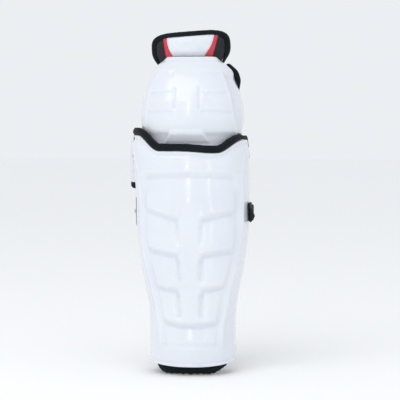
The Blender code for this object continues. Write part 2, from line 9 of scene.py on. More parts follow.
import bpy
import numpy as np
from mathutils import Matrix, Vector


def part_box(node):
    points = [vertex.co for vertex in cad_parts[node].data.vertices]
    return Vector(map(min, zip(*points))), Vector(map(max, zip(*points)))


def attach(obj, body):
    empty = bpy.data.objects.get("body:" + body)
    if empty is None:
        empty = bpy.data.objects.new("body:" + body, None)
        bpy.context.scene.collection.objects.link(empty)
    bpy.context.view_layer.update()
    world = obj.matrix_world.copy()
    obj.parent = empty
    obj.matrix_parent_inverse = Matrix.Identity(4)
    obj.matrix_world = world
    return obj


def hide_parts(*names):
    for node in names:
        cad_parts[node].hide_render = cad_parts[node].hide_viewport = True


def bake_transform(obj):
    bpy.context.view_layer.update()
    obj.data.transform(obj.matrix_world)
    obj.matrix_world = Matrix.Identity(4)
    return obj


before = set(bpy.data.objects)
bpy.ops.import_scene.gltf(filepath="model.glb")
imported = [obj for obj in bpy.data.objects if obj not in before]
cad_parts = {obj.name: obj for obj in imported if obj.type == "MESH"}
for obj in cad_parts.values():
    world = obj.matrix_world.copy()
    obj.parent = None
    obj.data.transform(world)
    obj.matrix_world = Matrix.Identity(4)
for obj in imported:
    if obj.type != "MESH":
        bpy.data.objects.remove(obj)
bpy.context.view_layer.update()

# The design's stations: height, half width, front, end of the bend and rear edge of each moulding.
SHELL = [
    (0.000, 0.0580, -0.0500, 0.000, 0.010),
    (0.045, 0.0590, -0.0520, 0.000, 0.014),
    (0.090, 0.0605, -0.0545, 0.000, 0.018),
    (0.135, 0.0690, -0.0590, 0.000, 0.020),
    (0.190, 0.0765, -0.0655, 0.000, 0.018),
    (0.240, 0.0775, -0.0690, 0.000, 0.014),
    (0.300, 0.0765, -0.0710, 0.000, 0.010),
    (0.340, 0.0720, -0.0710, 0.000, 0.008),
]
CAP = [
    (0.280, 0.0640, -0.0566, 0.000, 0.011),
    (0.300, 0.0645, -0.0600, 0.000, 0.012),
    (0.317, 0.0675, -0.0580, 0.000, 0.013),
    (0.333, 0.0705, -0.0660, 0.000, 0.016),
    (0.352, 0.0725, -0.0700, 0.000, 0.018),
    (0.378, 0.0695, -0.0680, -0.002, 0.012),
    (0.400, 0.0615, -0.0590, -0.006, 0.002),
    (0.415, 0.0540, -0.0490, -0.010, -0.007),
    (0.425, 0.0430, -0.0390, -0.014, -0.0125),
    (0.432, 0.0330, -0.0300, -0.018, -0.0165),
]
SHELL_WALL, CAP_WALL = 0.0030, 0.0028
ROUNDNESS, BEND = 2 / 2.3, 0.8
CAP_BOTTOM, CAP_TOP = 0.283, 0.432
EDGE_FRONT, PEAK_RIGHT, PEAK_LEFT = 0.305, 0.015, 0.021
PEAK_FROM, PEAK_TO, REAR_DROP = 0.040, 0.074, 0.022
DIP, DIP_AT, DIP_WIDTH = 0.0026, 0.032, 0.024
HEM_FRONT, HEM_SIDE, HEM_REAR = 0.012, 0.004, 0.016
FLARE, FLARE_FROM, FLARE_TO = 0.006, 0.230, 0.320
ROLL_RADIUS, ROLL_THIN, ROLL_GAP = 0.0048, 0.0026, 0.0006

# Depths of the liner's layers, from the outer face of the moulding they lie in.
HOOK_STRIP = (0.0037, 0.0047)
SHIN_LINER, CALF_PAD, FOOT_CUFF = (0.0052, 0.0152), (0.0150, 0.0228), (0.0085, 0.0175)
KNEE_LINER = (0.0036, 0.0146)
CUFF_TOP, CUFF_CORNER, LINER_TOP, GATHER = 0.020, 0.007, 0.272, 0.0085
KNEE_LINER_HEIGHTS = (0.318, 0.402)
KNEE_ROLL_RADIUS = 0.0045

# The thigh flap in its own plane, h above its fold line.
FLAP_MIDDLE = (-0.003, 0.446)
FLAP_TILT, FLAP_FOLD_Z = math.radians(4.2), 0.430
FLAP_FRONT, FLAP_CURL, FLAP_LEAN = -0.0205, 0.021, 0.10
FLAP_HALF, FLAP_SHOULDER, FLAP_TAPER = 0.0540, 0.0140, 0.0110
FLAP_LOW, FLAP_RISE, FLAP_BLUNT, FLAP_CORNER = -0.0140, 0.0232, 0.0004, 4.5
BINDING, FLAP_DEPTH = 0.0034, 0.0111
CORE_SHRINK = 0.0076
WHITE_EDGE = [(-0.020, 0.016), (0.0025, 0.0212), (0.015, 0.0285), (0.040, 0.0345)]
RED_EDGE = [(-0.020, 0.026), (0.0025, 0.0320), (0.015, 0.0350), (0.040, 0.0395)]

# The calf wing seen from above, and the straps.
WING_PATH = [(-0.0825, 0.0170), (-0.0950, 0.0210), (-0.0900, 0.0420), (-0.0750, 0.0570)]
WING_REACH, WING_ROUNDING, WING_DEPTH, WING_BINDING = 0.82, 0.012, 0.0078, 0.0041
STRAP_Z, STRAP_WIDTH, STRAP_THICK, STRAP_LIFT = 0.221, 0.038, 0.0018, 0.0022
STRAP_REAR, STRAP_FOLD, LOOP_BEND = 0.0715, 0.0205, 0.0280
STRAP_CLOSE, STRAP_TAPER, PATCH_HALF = 0.0022, 0.36, 0.0122
BAND_HEIGHTS, BAND_REAR, BAND_ENDS = (0.086, 0.114), 0.0620, 0.0060


# ---------------------------------------------------------------- shapes as formulas


def mix(start, end, share):
    return start + (end - start) * share


def ease(value):
    """0 below 0, 1 above 1, and smooth between."""
    value = np.clip(value, 0.0, 1.0)
    return value * value * (3 - 2 * value)


def bell(distance, width):
    """1 at no distance, falling smoothly to 0 a few widths away."""
    return np.exp(-((distance / width) ** 2))


def along(stations, height):
    """The values at each height, on a smooth curve through stations. The last axis holds the values."""
    heights = np.array([row[0] for row in stations])
    values = np.array([row[1:] for row in stations])
    slopes = np.gradient(values, heights, axis=0)
    height = np.clip(np.asarray(height, float), heights[0], heights[-1])
    i = np.clip(np.searchsorted(heights, height, side="right") - 1, 0, len(heights) - 2)
    span = (heights[i + 1] - heights[i])[..., None]
    t = (height[..., None] - heights[i][..., None]) / span
    rise, leave, arrive = t * t * (3 - 2 * t), t * (1 - t) ** 2, t * t * (t - 1)
    return mix(values[i], values[i + 1], rise) + span * (leave * slopes[i] + arrive * slopes[i + 1])


def u_outline(u, width, front, bend_end, rear):
    """Points at u, from -1 on the left to 1 on the right, of a U that opens towards +Y."""
    turn = np.abs(u) / BEND
    angle = np.minimum(turn, 1) * np.pi / 2
    x = np.sign(u) * width * np.sin(angle) ** ROUNDNESS
    bent = bend_end + (front - bend_end) * np.maximum(np.cos(angle), 0) ** ROUNDNESS
    return x, np.where(turn < 1, bent, mix(bend_end, rear, np.clip((turn - 1) / (1 / BEND - 1), 0, 1)))


def points(x, y, z):
    return np.stack(np.broadcast_arrays(x, y, z), axis=-1)


def shell_xyz(u, z, inset=0.0):
    width, front, bend_end, rear = np.moveaxis(along(SHELL, z), -1, 0)
    width = width + np.where(u < 0, FLARE * ease((z - FLARE_FROM) / (FLARE_TO - FLARE_FROM)), 0)
    x, y = u_outline(u, width - inset, front + inset, bend_end, rear)
    return points(x, y, z)


def cap_xyz(u, z, inset=0.0):
    width, front, bend_end, rear = np.moveaxis(along(CAP, z), -1, 0)
    x, y = u_outline(u, width - inset, front + inset, bend_end, rear)
    return points(x, y, z)


def shell_top(u):
    """Height of the shin shell's top edge."""
    peak = np.where(u < 0, PEAK_LEFT, PEAK_RIGHT)
    x = np.abs(shell_xyz(u, np.full_like(u, EDGE_FRONT))[..., 0])
    drop = ease((np.abs(u) / BEND - 1) / (1 / BEND - 1))
    dip = DIP * bell(np.sign(u) * x - DIP_AT, DIP_WIDTH)
    return EDGE_FRONT + peak * ease((x - PEAK_FROM) / (PEAK_TO - PEAK_FROM)) - REAR_DROP * drop - dip


def shell_hem(u):
    """Height of the shin shell's bottom edge."""
    turn = np.abs(u) / BEND
    return HEM_FRONT + HEM_SIDE * ease(turn) + HEM_REAR * ease((turn - 1) / (1 / BEND - 1))


def normals_of(grid):
    """Unit normals of a grid of points."""
    across = np.gradient(grid, axis=0)
    up = np.gradient(grid, axis=1)
    normal = np.cross(across, up)
    return normal / np.maximum(np.linalg.norm(normal, axis=-1, keepdims=True), 1e-12)


def unit(vectors):
    return vectors / np.maximum(np.linalg.norm(vectors, axis=-1, keepdims=True), 1e-12)


def wobble(a, b, seed, scale):
    """Smooth, repeatable unevenness between -1 and 1 over two coordinates."""
    rng = np.random.default_rng(seed)
    total = 0
    for _ in range(7):
        direction = rng.normal(size=2)
        direction *= (0.6 + 0.8 * rng.random()) / np.linalg.norm(direction)
        run = a * direction[0] + b * direction[1]
        total = total + np.sin(run * math.tau / scale + rng.random() * math.tau)
    return total / 4.5


# ---------------------------------------------------------------- meshes


def mesh_object(name, verts, faces, uvs, look):
    """A smooth mesh object, turned inside out if its faces point inwards."""
    faces = np.asarray(faces)
    triangles = verts[faces[:, :3]]
    rest = verts[faces[:, [0, 2, 3]]]
    volume = np.linalg.det(triangles).sum() + np.linalg.det(rest).sum()
    if volume < 0:
        faces = faces[:, ::-1]
    mesh = bpy.data.meshes.new(name)
    mesh.from_pydata(verts.tolist(), [], [tuple(dict.fromkeys(f)) for f in faces.tolist()])
    corners = np.zeros(len(mesh.loops), np.int32)
    mesh.loops.foreach_get("vertex_index", corners)
    layer = mesh.uv_layers.new(name="Cloth")
    layer.data.foreach_set("uv", np.asarray(uvs, np.float32)[corners].ravel())
    mesh.shade_smooth()
    made = bpy.data.objects.new(name, mesh)
    bpy.context.scene.collection.objects.link(made)
    mesh.materials.append(look)
    return made


def lengths(grid, axis):
    """Distance run along one axis of a grid of points."""
    steps = np.linalg.norm(np.diff(grid, axis=axis), axis=-1)
    run = np.cumsum(steps, axis=axis)
    start = np.zeros_like(np.take(run, [0], axis=axis))
    return np.concatenate([start, run], axis=axis)


def run_of(path):
    """Distance run at each point of a path."""
    return np.concatenate([[0], np.cumsum(np.linalg.norm(np.diff(path, axis=0), axis=1))])


def sheet(name, outer, inner, look, rim=3, bulge=1.0):
    """A closed sheet between two grids of points, with its border rounded off."""
    columns, rows = outer.shape[:2]
    uv = np.stack([lengths(outer, 0), lengths(outer, 1)], axis=-1)
    number = np.arange(columns * rows).reshape(columns, rows)
    border = np.concatenate([number[:, 0], number[-1, 1:], number[-2::-1, -1], number[0, -2:0:-1]])
    middle = (outer + inner) / 2
    out = np.zeros_like(middle)
    out[0] += unit(middle[0] - middle[1])
    out[-1] += unit(middle[-1] - middle[-2])
    out[:, 0] += unit(middle[:, 0] - middle[:, 1])
    out[:, -1] += unit(middle[:, -1] - middle[:, -2])
    flat = [grid.reshape(-1, grid.shape[-1]) for grid in (outer, inner, middle, out, uv)]
    half = (flat[0] - flat[1])[border] / 2
    radius = np.linalg.norm(half, axis=1, keepdims=True)
    outward = unit(flat[3][border])
    rings, uvs = [flat[0], flat[1]], [flat[4], flat[4]]
    for k in range(1, rim + 1):
        angle = math.pi * k / (rim + 1)
        rings.append(flat[2][border] + half * math.cos(angle) + outward * radius * bulge * math.sin(angle))
        uvs.append(flat[4][border])
    cells = np.stack([number[:-1, :-1], number[1:, :-1], number[1:, 1:], number[:-1, 1:]], axis=-1)
    cells = cells.reshape(-1, 4)
    faces = [cells, cells[:, ::-1] + columns * rows]
    loops = [border]
    loops += [2 * columns * rows + k * len(border) + np.arange(len(border)) for k in range(rim)]
    loops += [border + columns * rows]
    for first, second in zip(loops, loops[1:]):
        ahead, after = np.roll(first, -1), np.roll(second, -1)
        faces.append(np.stack([first, second, after, ahead], axis=-1))
    return mesh_object(name, np.concatenate(rings), np.concatenate(faces), np.concatenate(uvs), look)


def sweep(name, path, side, radii, look, sides=20, square=2.0, cap=4, shape=None):
    """A closed bead along a path. side points out of the surface it lies on, and radii are (across, out).

    shape(distance, angle) scales the section, and square over 2 flattens its sides.
    """
    path, side = np.asarray(path, float), np.asarray(side, float)
    travel = unit(np.gradient(path, axis=0))
    side = unit(side - travel * (side * travel).sum(-1, keepdims=True))
    across = np.cross(travel, side)
    radii = np.broadcast_to(np.asarray(radii, float), (len(path), 2))
    run = run_of(path)
    turn = np.linspace(0, math.tau, sides, endpoint=False)
    power = 2 / square
    section = np.stack([np.sign(np.cos(turn)) * np.abs(np.cos(turn)) ** power,
                        np.sign(np.sin(turn)) * np.abs(np.sin(turn)) ** power], axis=-1)
    scale = shape(run[:, None], turn[None, :]) if shape else np.ones((len(path), sides))
    rings = []

    def ring(i, shrink, shift):
        offset = section[:, :1] * radii[i, 0] * across[i] + section[:, 1:] * radii[i, 1] * side[i]
        return path[i] + travel[i] * shift + offset * (scale[i][:, None] * shrink)

    for k in range(cap):
        angle = math.pi / 2 * (1 - k / cap)
        rings.append(ring(0, max(math.cos(angle), 0.02), -math.sin(angle) * radii[0].min()))
    rings += [ring(i, 1.0, 0.0) for i in range(len(path))]
    for k in range(cap):
        angle = math.pi / 2 * ((k + 1) / cap)
        rings.append(ring(len(path) - 1, max(math.cos(angle), 0.02), math.sin(angle) * radii[-1].min()))
    verts = np.concatenate(rings + [rings[0].mean(0)[None], rings[-1].mean(0)[None]])
    count = len(rings)
    number = np.arange(count * sides).reshape(count, sides)
    ahead = np.roll(number, -1, axis=1)
    faces = [np.stack([number[:-1], number[1:], ahead[1:], ahead[:-1]], axis=-1).reshape(-1, 4)]
    start, end = count * sides, count * sides + 1
    faces.append(np.stack([number[0], ahead[0], np.full(sides, start), np.full(sides, start)], axis=-1))
    faces.append(np.stack([ahead[-1], number[-1], np.full(sides, end), np.full(sides, end)], axis=-1))
    runs = np.concatenate([np.zeros(cap), run, np.full(cap, run[-1])])
    around = turn / math.tau * (radii.mean() * math.tau)
    uvs = np.stack(np.broadcast_arrays(runs[:, None], around[None, :]), axis=-1).reshape(-1, 2)
    uvs = np.concatenate([uvs, [[0, 0], [run[-1], 0]]])
    return mesh_object(name, verts, np.concatenate(faces), uvs, look)


def stitches(name, path, out, look, length=0.0026, pitch=0.0036, thick=0.00042):
    """A row of sewn stitches along a path on a surface whose outward direction is out."""
    path, out = np.asarray(path, float), unit(np.asarray(out, float))
    run = run_of(path)
    turn = np.linspace(0, math.tau, 6, endpoint=False)
    steps = np.linspace(-1, 1, 6)
    height = np.sqrt(np.maximum(1 - steps**4, 0.02))
    verts, faces, uvs = [], [], []
    for middle in np.arange(pitch / 2, run[-1], pitch):
        at = np.clip(middle + steps * length / 2, 0, run[-1])
        centre = np.stack([np.interp(at, run, path[:, k]) for k in range(3)], axis=-1)
        up = unit(np.stack([np.interp(at, run, out[:, k]) for k in range(3)], axis=-1))
        over = np.cross(unit(np.gradient(centre, axis=0)), up)
        rise = (height * thick * 0.7)[:, None] * up
        ring = centre[:, None] + rise[:, None]
        ring = ring + thick * height[:, None, None] * (
            np.cos(turn)[None, :, None] * over[:, None] + 0.8 * np.sin(turn)[None, :, None] * up[:, None])
        base = len(verts) * 36
        verts.append(ring.reshape(-1, 3))
        number = base + np.arange(36).reshape(6, 6)
        ahead = np.roll(number, -1, axis=1)
        faces.append(np.stack([number[:-1], number[1:], ahead[1:], ahead[:-1]], axis=-1).reshape(-1, 4))
        for row, order in ((number[0], 1), (number[-1], -1)):
            faces.append(row[[0, 1, 2, 3]][::order][None])
            faces.append(row[[0, 3, 4, 5]][::order][None])
        uvs.append(np.stack([np.repeat(at, 6), np.tile(turn * thick, 6)], axis=-1))
    return mesh_object(name, np.concatenate(verts), np.concatenate(faces), np.concatenate(uvs), look)


def pillow(u, v, halves, roll):
    """Share of full height over a pad whose edges roll off over a width. u and v run from -1 to 1."""
    height = 1
    for value, half in ((u, halves[0]), (v, halves[1])):
        inside = np.clip((1 - np.abs(value)) * half / roll, 0, 1)
        height = height * np.sqrt(1 - (1 - inside) ** 2)
    return height


def grid(columns, rows):
    """Column and row shares, u from -1 to 1 and v from -1 to 1."""
    return np.meshgrid(np.linspace(-1, 1, columns), np.linspace(-1, 1, rows), indexing="ij")


# ---------------------------------------------------------------- materials


def node(tree, kind, inputs=None, **settings):
    made = tree.nodes.new(kind)
    for key, value in settings.items():
        setattr(made, key, value)
    for key, value in (inputs or {}).items():
        socket = made.inputs[key]
        if isinstance(value, bpy.types.NodeSocket):
            tree.links.new(value, socket)
        else:
            socket.default_value = value
    return made


def noise(tree, where, scale, detail=3.0, roughness=0.5):
    inputs = {"Vector": where, "Scale": scale, "Detail": detail, "Roughness": roughness}
    return node(tree, "ShaderNodeTexNoise", inputs).outputs["Fac"]


def ranged(tree, value, low, high, from_low=0.0, from_high=1.0):
    inputs = {"Value": value, "From Min": from_low, "From Max": from_high, "To Min": low, "To Max": high}
    return node(tree, "ShaderNodeMapRange", inputs).outputs["Result"]


def maths(tree, operation, first, second=0.0):
    return node(tree, "ShaderNodeMath", {0: first, 1: second}, operation=operation).outputs[0]


def add(tree, first, second):
    return maths(tree, "ADD", first, second)


def times(tree, first, second):
    return maths(tree, "MULTIPLY", first, second)


def blend_colors(tree, share, first, second):
    made = node(tree, "ShaderNodeMix", {0: share, 6: (*first, 1), 7: (*second, 1)}, data_type="RGBA")
    return made.outputs[2]


def dress(tree, shader, color, height, depth, rough=None):
    """Plugs a colour, a relief of some depth and a roughness into a shader."""
    inputs = {"Height": height, "Distance": depth, "Strength": 1.0}
    tree.links.new(color, shader.inputs["Base Color"])
    tree.links.new(node(tree, "ShaderNodeBump", inputs).outputs["Normal"], shader.inputs["Normal"])
    if rough is not None:
        tree.links.new(rough, shader.inputs["Roughness"])


def start_material(name, roughness, metallic=0.0, sheen=0.0, coat=0.0, shine=0.5):
    made = bpy.data.materials.new(name)
    made.use_nodes = True
    shader = made.node_tree.nodes["Principled BSDF"]
    shader.inputs["Roughness"].default_value = roughness
    shader.inputs["Metallic"].default_value = metallic
    shader.inputs["Specular IOR Level"].default_value = shine
    shader.inputs["Sheen Weight"].default_value = sheen
    shader.inputs["Sheen Roughness"].default_value = 0.5
    shader.inputs["Coat Weight"].default_value = coat
    shader.inputs["Coat Roughness"].default_value = 0.08
    return made, made.node_tree, shader


def place(tree):
    return node(tree, "ShaderNodeTexCoord").outputs["Object"]


def cloth_axes(tree):
    """Distances along and across a piece of cloth, in metres."""
    uv = node(tree, "ShaderNodeUVMap", uv_map="Cloth").outputs["UV"]
    split = node(tree, "ShaderNodeSeparateXYZ", {0: uv})
    return split.outputs[0], split.outputs[1]


def waves(tree, run, pitch):
    """A sine from -1 to 1 that repeats every pitch metres."""
    return maths(tree, "SINE", times(tree, run, math.tau / pitch))


def moulded_plastic(name, color, shade_and_tone, roughness):
    """Glossy moulded polyethylene: a faint orange peel, hairline scuffs, and a cooler painted shade in its valleys.
    """
    made, tree, shader = start_material(name, roughness, coat=0.35)
    where = place(tree)
    hollow = node(tree, "ShaderNodeNewGeometry").outputs["Pointiness"]
    # Painted shade: hollow places, found by pointiness, are mixed towards the cooler shade colour; the cloudy noise
    # adds a random tone.
    painted_valley_shade = ranged(tree, hollow, 1.0, 0.0, 0.455, 0.505)
    cloudy = ranged(tree, noise(tree, where, 14.0, 2.0), 0.0, 0.35, 0.35, 0.75)
    share = maths(tree, "MINIMUM", add(tree, times(tree, painted_valley_shade, 0.75), cloudy), 1.0)
    stretched = node(tree, "ShaderNodeMapping", {"Vector": where, "Scale": (900, 900, 40)}).outputs[0]
    scuffs = ranged(tree, noise(tree, stretched, 1.0, 4.0, 0.7), 0.0, 0.10, 0.56, 0.72)
    smudge = ranged(tree, noise(tree, where, 22.0, 3.0), -0.03, 0.05, 0.3, 0.7)
    rough = add(tree, add(tree, scuffs, smudge), roughness)
    peel = noise(tree, where, 420.0, 2.0)
    dress(tree, shader, blend_colors(tree, share, color, shade_and_tone), peel, 0.00004, rough)
    shader.inputs["Subsurface Weight"].default_value = 0.06
    shader.inputs["Subsurface Scale"].default_value = 0.004
    return made


def grained_vinyl(name, color, dark, roughness, grain=900.0, coat=0.15, shine=0.5):
    """Coated fabric with a fine pebbled grain, a soft shine, and wear in random patches."""
    made, tree, shader = start_material(name, roughness, coat=coat, shine=shine)
    where = place(tree)
    cells = node(tree, "ShaderNodeTexVoronoi", {"Vector": where, "Scale": grain}).outputs["Distance"]
    soft = noise(tree, where, grain * 1.6, 3.0)
    height = add(tree, times(tree, cells, 0.8), times(tree, soft, 0.35))
    patch = ranged(tree, noise(tree, where, 60.0, 4.0), 0.0, 1.0, 0.35, 0.75)
    share = times(tree, add(tree, patch, ranged(tree, cells, 0.4, 0.0, 0.1, 0.5)), 0.6)
    rough = ranged(tree, patch, roughness - 0.06, roughness + 0.10)
    dress(tree, shader, blend_colors(tree, share, color, dark), height, 0.00016, rough)
    return made


def woven_cloth(name, color, light, pitch, depth, roughness=0.85, sheen=0.05):
    """Woven or knitted cloth: threads over and under each other, with uneven yarn and a soft sheen."""
    made, tree, shader = start_material(name, roughness, sheen=sheen, shine=0.2)
    run, across = cloth_axes(tree)
    where = place(tree)
    uneven = times(tree, noise(tree, where, 260.0, 2.0), pitch * 0.5)
    warp = waves(tree, add(tree, run, uneven), pitch)
    weft = waves(tree, add(tree, across, uneven), pitch)
    knot = times(tree, warp, weft)
    fuzz = noise(tree, where, 1800.0, 3.0, 0.7)
    height = add(tree, times(tree, knot, 0.5), times(tree, fuzz, 0.6))
    worn = ranged(tree, noise(tree, where, 45.0, 4.0), 0.0, 0.6, 0.40, 0.80)
    share = add(tree, worn, ranged(tree, knot, 0.0, 0.45, -0.2, 1.0))
    rough = ranged(tree, fuzz, roughness - 0.08, roughness + 0.08)
    dress(tree, shader, blend_colors(tree, share, color, light), height, depth, rough)
    return made


def mesh_lining(name, color, light, pitch=0.0024):
    """Air-mesh lining: rows of small round holes in a knitted face."""
    made, tree, shader = start_material(name, 0.9, sheen=0.06, shine=0.25)
    run, across = cloth_axes(tree)
    where = place(tree)
    first = waves(tree, add(tree, run, times(tree, across, 0.58)), pitch)
    second = waves(tree, maths(tree, "SUBTRACT", run, times(tree, across, 0.58)), pitch)
    third = waves(tree, across, pitch * 0.86)
    holes = add(tree, add(tree, first, second), third)
    open_share = ranged(tree, holes, 0.0, 1.0, 0.9, 2.0)
    fuzz = noise(tree, where, 1500.0, 3.0, 0.7)
    height = maths(tree, "SUBTRACT", times(tree, fuzz, 0.35), open_share)
    cloudy = ranged(tree, noise(tree, where, 50.0, 3.0), 0.0, 0.5, 0.35, 0.75)
    share = maths(tree, "MINIMUM", add(tree, open_share, times(tree, cloudy, 0.5)), 1.0)
    dress(tree, shader, blend_colors(tree, share, light, color), height, 0.0004)
    return made


def ribbed_elastic(name, color, light, pitch=0.0019):
    """Knitted elastic: ribs along the band, and fine rows across it."""
    made, tree, shader = start_material(name, 0.8, sheen=0.05, shine=0.25)
    run, across = cloth_axes(tree)
    where = place(tree)
    ribs = waves(tree, across, pitch)
    rows = waves(tree, add(tree, run, times(tree, ribs, 0.0003)), 0.0011)
    height = add(tree, ribs, times(tree, rows, 0.5))
    worn = ranged(tree, noise(tree, where, 70.0, 4.0), 0.0, 0.5, 0.40, 0.80)
    share = add(tree, worn, ranged(tree, ribs, 0.0, 0.5, -0.5, 1.0))
    dress(tree, shader, blend_colors(tree, share, color, light), height, 0.00022)
    return made


def hook_pile(name, color, light):
    """Hook-and-loop pile: short matted fibres."""
    made, tree, shader = start_material(name, 0.95, sheen=0.06, shine=0.2)
    where = place(tree)
    tufts = node(tree, "ShaderNodeTexVoronoi", {"Vector": where, "Scale": 1100.0}).outputs["Distance"]
    fuzz = noise(tree, where, 2600.0, 4.0, 0.8)
    height = add(tree, tufts, fuzz)
    share = ranged(tree, height, 0.0, 1.0, 0.5, 1.4)
    dress(tree, shader, blend_colors(tree, share, color, light), height, 0.0005)
    return made


def brushed_steel(name, color, dark):
    """Nickel-plated rivets: fine turning marks, and dull spots scattered at random."""
    made, tree, shader = start_material(name, 0.3, metallic=1.0)
    where = place(tree)
    spots = ranged(tree, noise(tree, where, 700.0, 4.0), 0.0, 1.0, 0.45, 0.75)
    marks = noise(tree, where, 2200.0, 2.0)
    rough = ranged(tree, spots, 0.22, 0.42)
    dress(tree, shader, blend_colors(tree, spots, color, dark), marks, 0.00003, rough)
    return made


INK, INK_DARK = (0.016, 0.018, 0.021), (0.007, 0.009, 0.012)
CLOTH, CLOTH_LIGHT = (0.0025, 0.0055, 0.0080), (0.0060, 0.0120, 0.0160)

# In the moulded plastics, the second colour is the painted shade for the valleys, and also their random cloudy tone.
LOOKS = {
    "white_shell": moulded_plastic("glossy_white_plastic", (0.77, 0.80, 0.84), (0.66, 0.68, 0.79), 0.13),
    "white_vinyl": grained_vinyl("white_vinyl", (0.76, 0.79, 0.83), (0.68, 0.71, 0.77), 0.42),
    "red_vinyl": grained_vinyl("red_vinyl", (0.62, 0.030, 0.055), (0.46, 0.018, 0.036), 0.44),
    "black_vinyl": grained_vinyl("black_vinyl", INK, INK_DARK, 0.46, coat=0.03, shine=0.25),
    "black_fabric": woven_cloth("black_woven_cloth", CLOTH, CLOTH_LIGHT, 0.0011, 0.00016),
    "lining": mesh_lining("charcoal_mesh_lining", (0.010, 0.012, 0.014), (0.045, 0.050, 0.055)),
    "hook_loop": hook_pile("black_hook_pile", (0.006, 0.007, 0.009), (0.030, 0.032, 0.036)),
    "elastic": ribbed_elastic("black_ribbed_elastic", (0.010, 0.012, 0.014), (0.035, 0.038, 0.042)),
    "rivet_steel": brushed_steel("nickel_rivet", (0.62, 0.63, 0.65), (0.42, 0.42, 0.44)),
    "white_washer": moulded_plastic("white_washer_plastic", (0.74, 0.76, 0.79), (0.60, 0.62, 0.68), 0.35),
}
THREAD = woven_cloth("black_thread", (0.020, 0.024, 0.028), (0.050, 0.055, 0.060), 0.0005, 0.00008)
WHITE_THREAD = woven_cloth("white_thread", (0.62, 0.65, 0.70), (0.75, 0.78, 0.82), 0.0005, 0.00008)


def settle(piece, body, slot, *nodes, fill=None):
    """Puts a finished piece on its body, in place of its plain solids."""
    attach(piece, body)
    if nodes:
        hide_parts(*nodes)
    return piece


# ---------------------------------------------------------------- the two mouldings

RAIL_LEFT = [(0.040, 0.0395), (0.070, 0.0415), (0.090, 0.0450), (0.124, 0.0525), (0.148, 0.0590),
             (0.183, 0.0644), (0.225, 0.0668), (0.259, 0.0685), (0.288, 0.0725), (0.312, 0.0800)]
RAIL_RIGHT = [(0.040, 0.0425), (0.055, 0.0430), (0.084, 0.0470), (0.119, 0.0540), (0.144, 0.0610),
              (0.187, 0.0690), (0.225, 0.0700), (0.259, 0.0700), (0.281, 0.0705), (0.305, 0.0760)]

# Cross grooves: z at the middle, z at the left and right ends, half gap left for the spine, depth, lip above.
GROOVES = [
    (0.2690, 0.2655, 0.2660, 0.0000, 0.0032, 0.0008),
    (0.2095, 0.2250, 0.2220, 0.0165, 0.0036, 0.0026),
    (0.1605, 0.1690, 0.1675, 0.0165, 0.0038, 0.0028),
    (0.1125, 0.1165, 0.1190, 0.0165, 0.0038, 0.0028),
    (0.0640, 0.0725, 0.0700, 0.0000, 0.0040, 0.0030),
]
SPINE_LEFT, SPINE_RIGHT = -0.0135, 0.0165
LIP_FALL, LIP_RISE, CELL_RISE = 0.0110, 0.0330, 0.0320

# Upright grooves beside the spine: bottom, top and depth, then their width.
SPINE_GROOVES = ((0.074, 0.113, 0.0028), (0.124, 0.160, 0.0028), (0.176, 0.208, 0.0014))
SPINE_GROOVE_WIDTH = 0.0044
SPINE_SLANTS = ((SPINE_LEFT, -0.0035), (SPINE_RIGHT, 0.0010))

# Heights or depths of the shin moulding's other features, each with its width.
RAIL_HEIGHT, RAIL_WIDTH = 0.0026, 0.0030
GUTTER_DEPTH, GUTTER_AT, GUTTER_WIDTH, GUTTER_TOP = 0.0016, 0.0066, 0.0034, 0.262
PANEL_RISE, PANEL_SLOPE = 0.0012, 0.006
FOOT_LINE_DEPTH, FOOT_LINE_Z, FOOT_LINE_WIDTH = 0.0006, 0.0415, 0.0035
EDGE_LIP, EDGE_DIP, EDGE_DIP_AT = (0.0011, 0.0021), (0.0006, 0.0020), 0.0050
HEM_LIP, HEM_DIP = (0.0008, 0.0022), (0.0005, 0.0022)
SHELL_GRID, SHELL_UNEVEN, SHELL_INSIDE_SHARE = (212, 224), 0.00012, 0.50


def groove_line(groove, x, rail):
    """Height of a cross groove at each x."""
    middle, left, right, gap = groove[:4]
    share = np.clip((np.abs(x) - gap) / (rail - gap), 0, 1)
    power = 2.0 if gap == 0 else 1.15
    return middle + np.where(x < 0, left - middle, right - middle) * share**power


def edge_relief(distance, lip, dip):
    """A raised lip along an edge and a shallow dip behind it, each given as height and width."""
    return lip[0] * bell(distance, lip[1]) - dip[0] * bell(distance - EDGE_DIP_AT, dip[1])


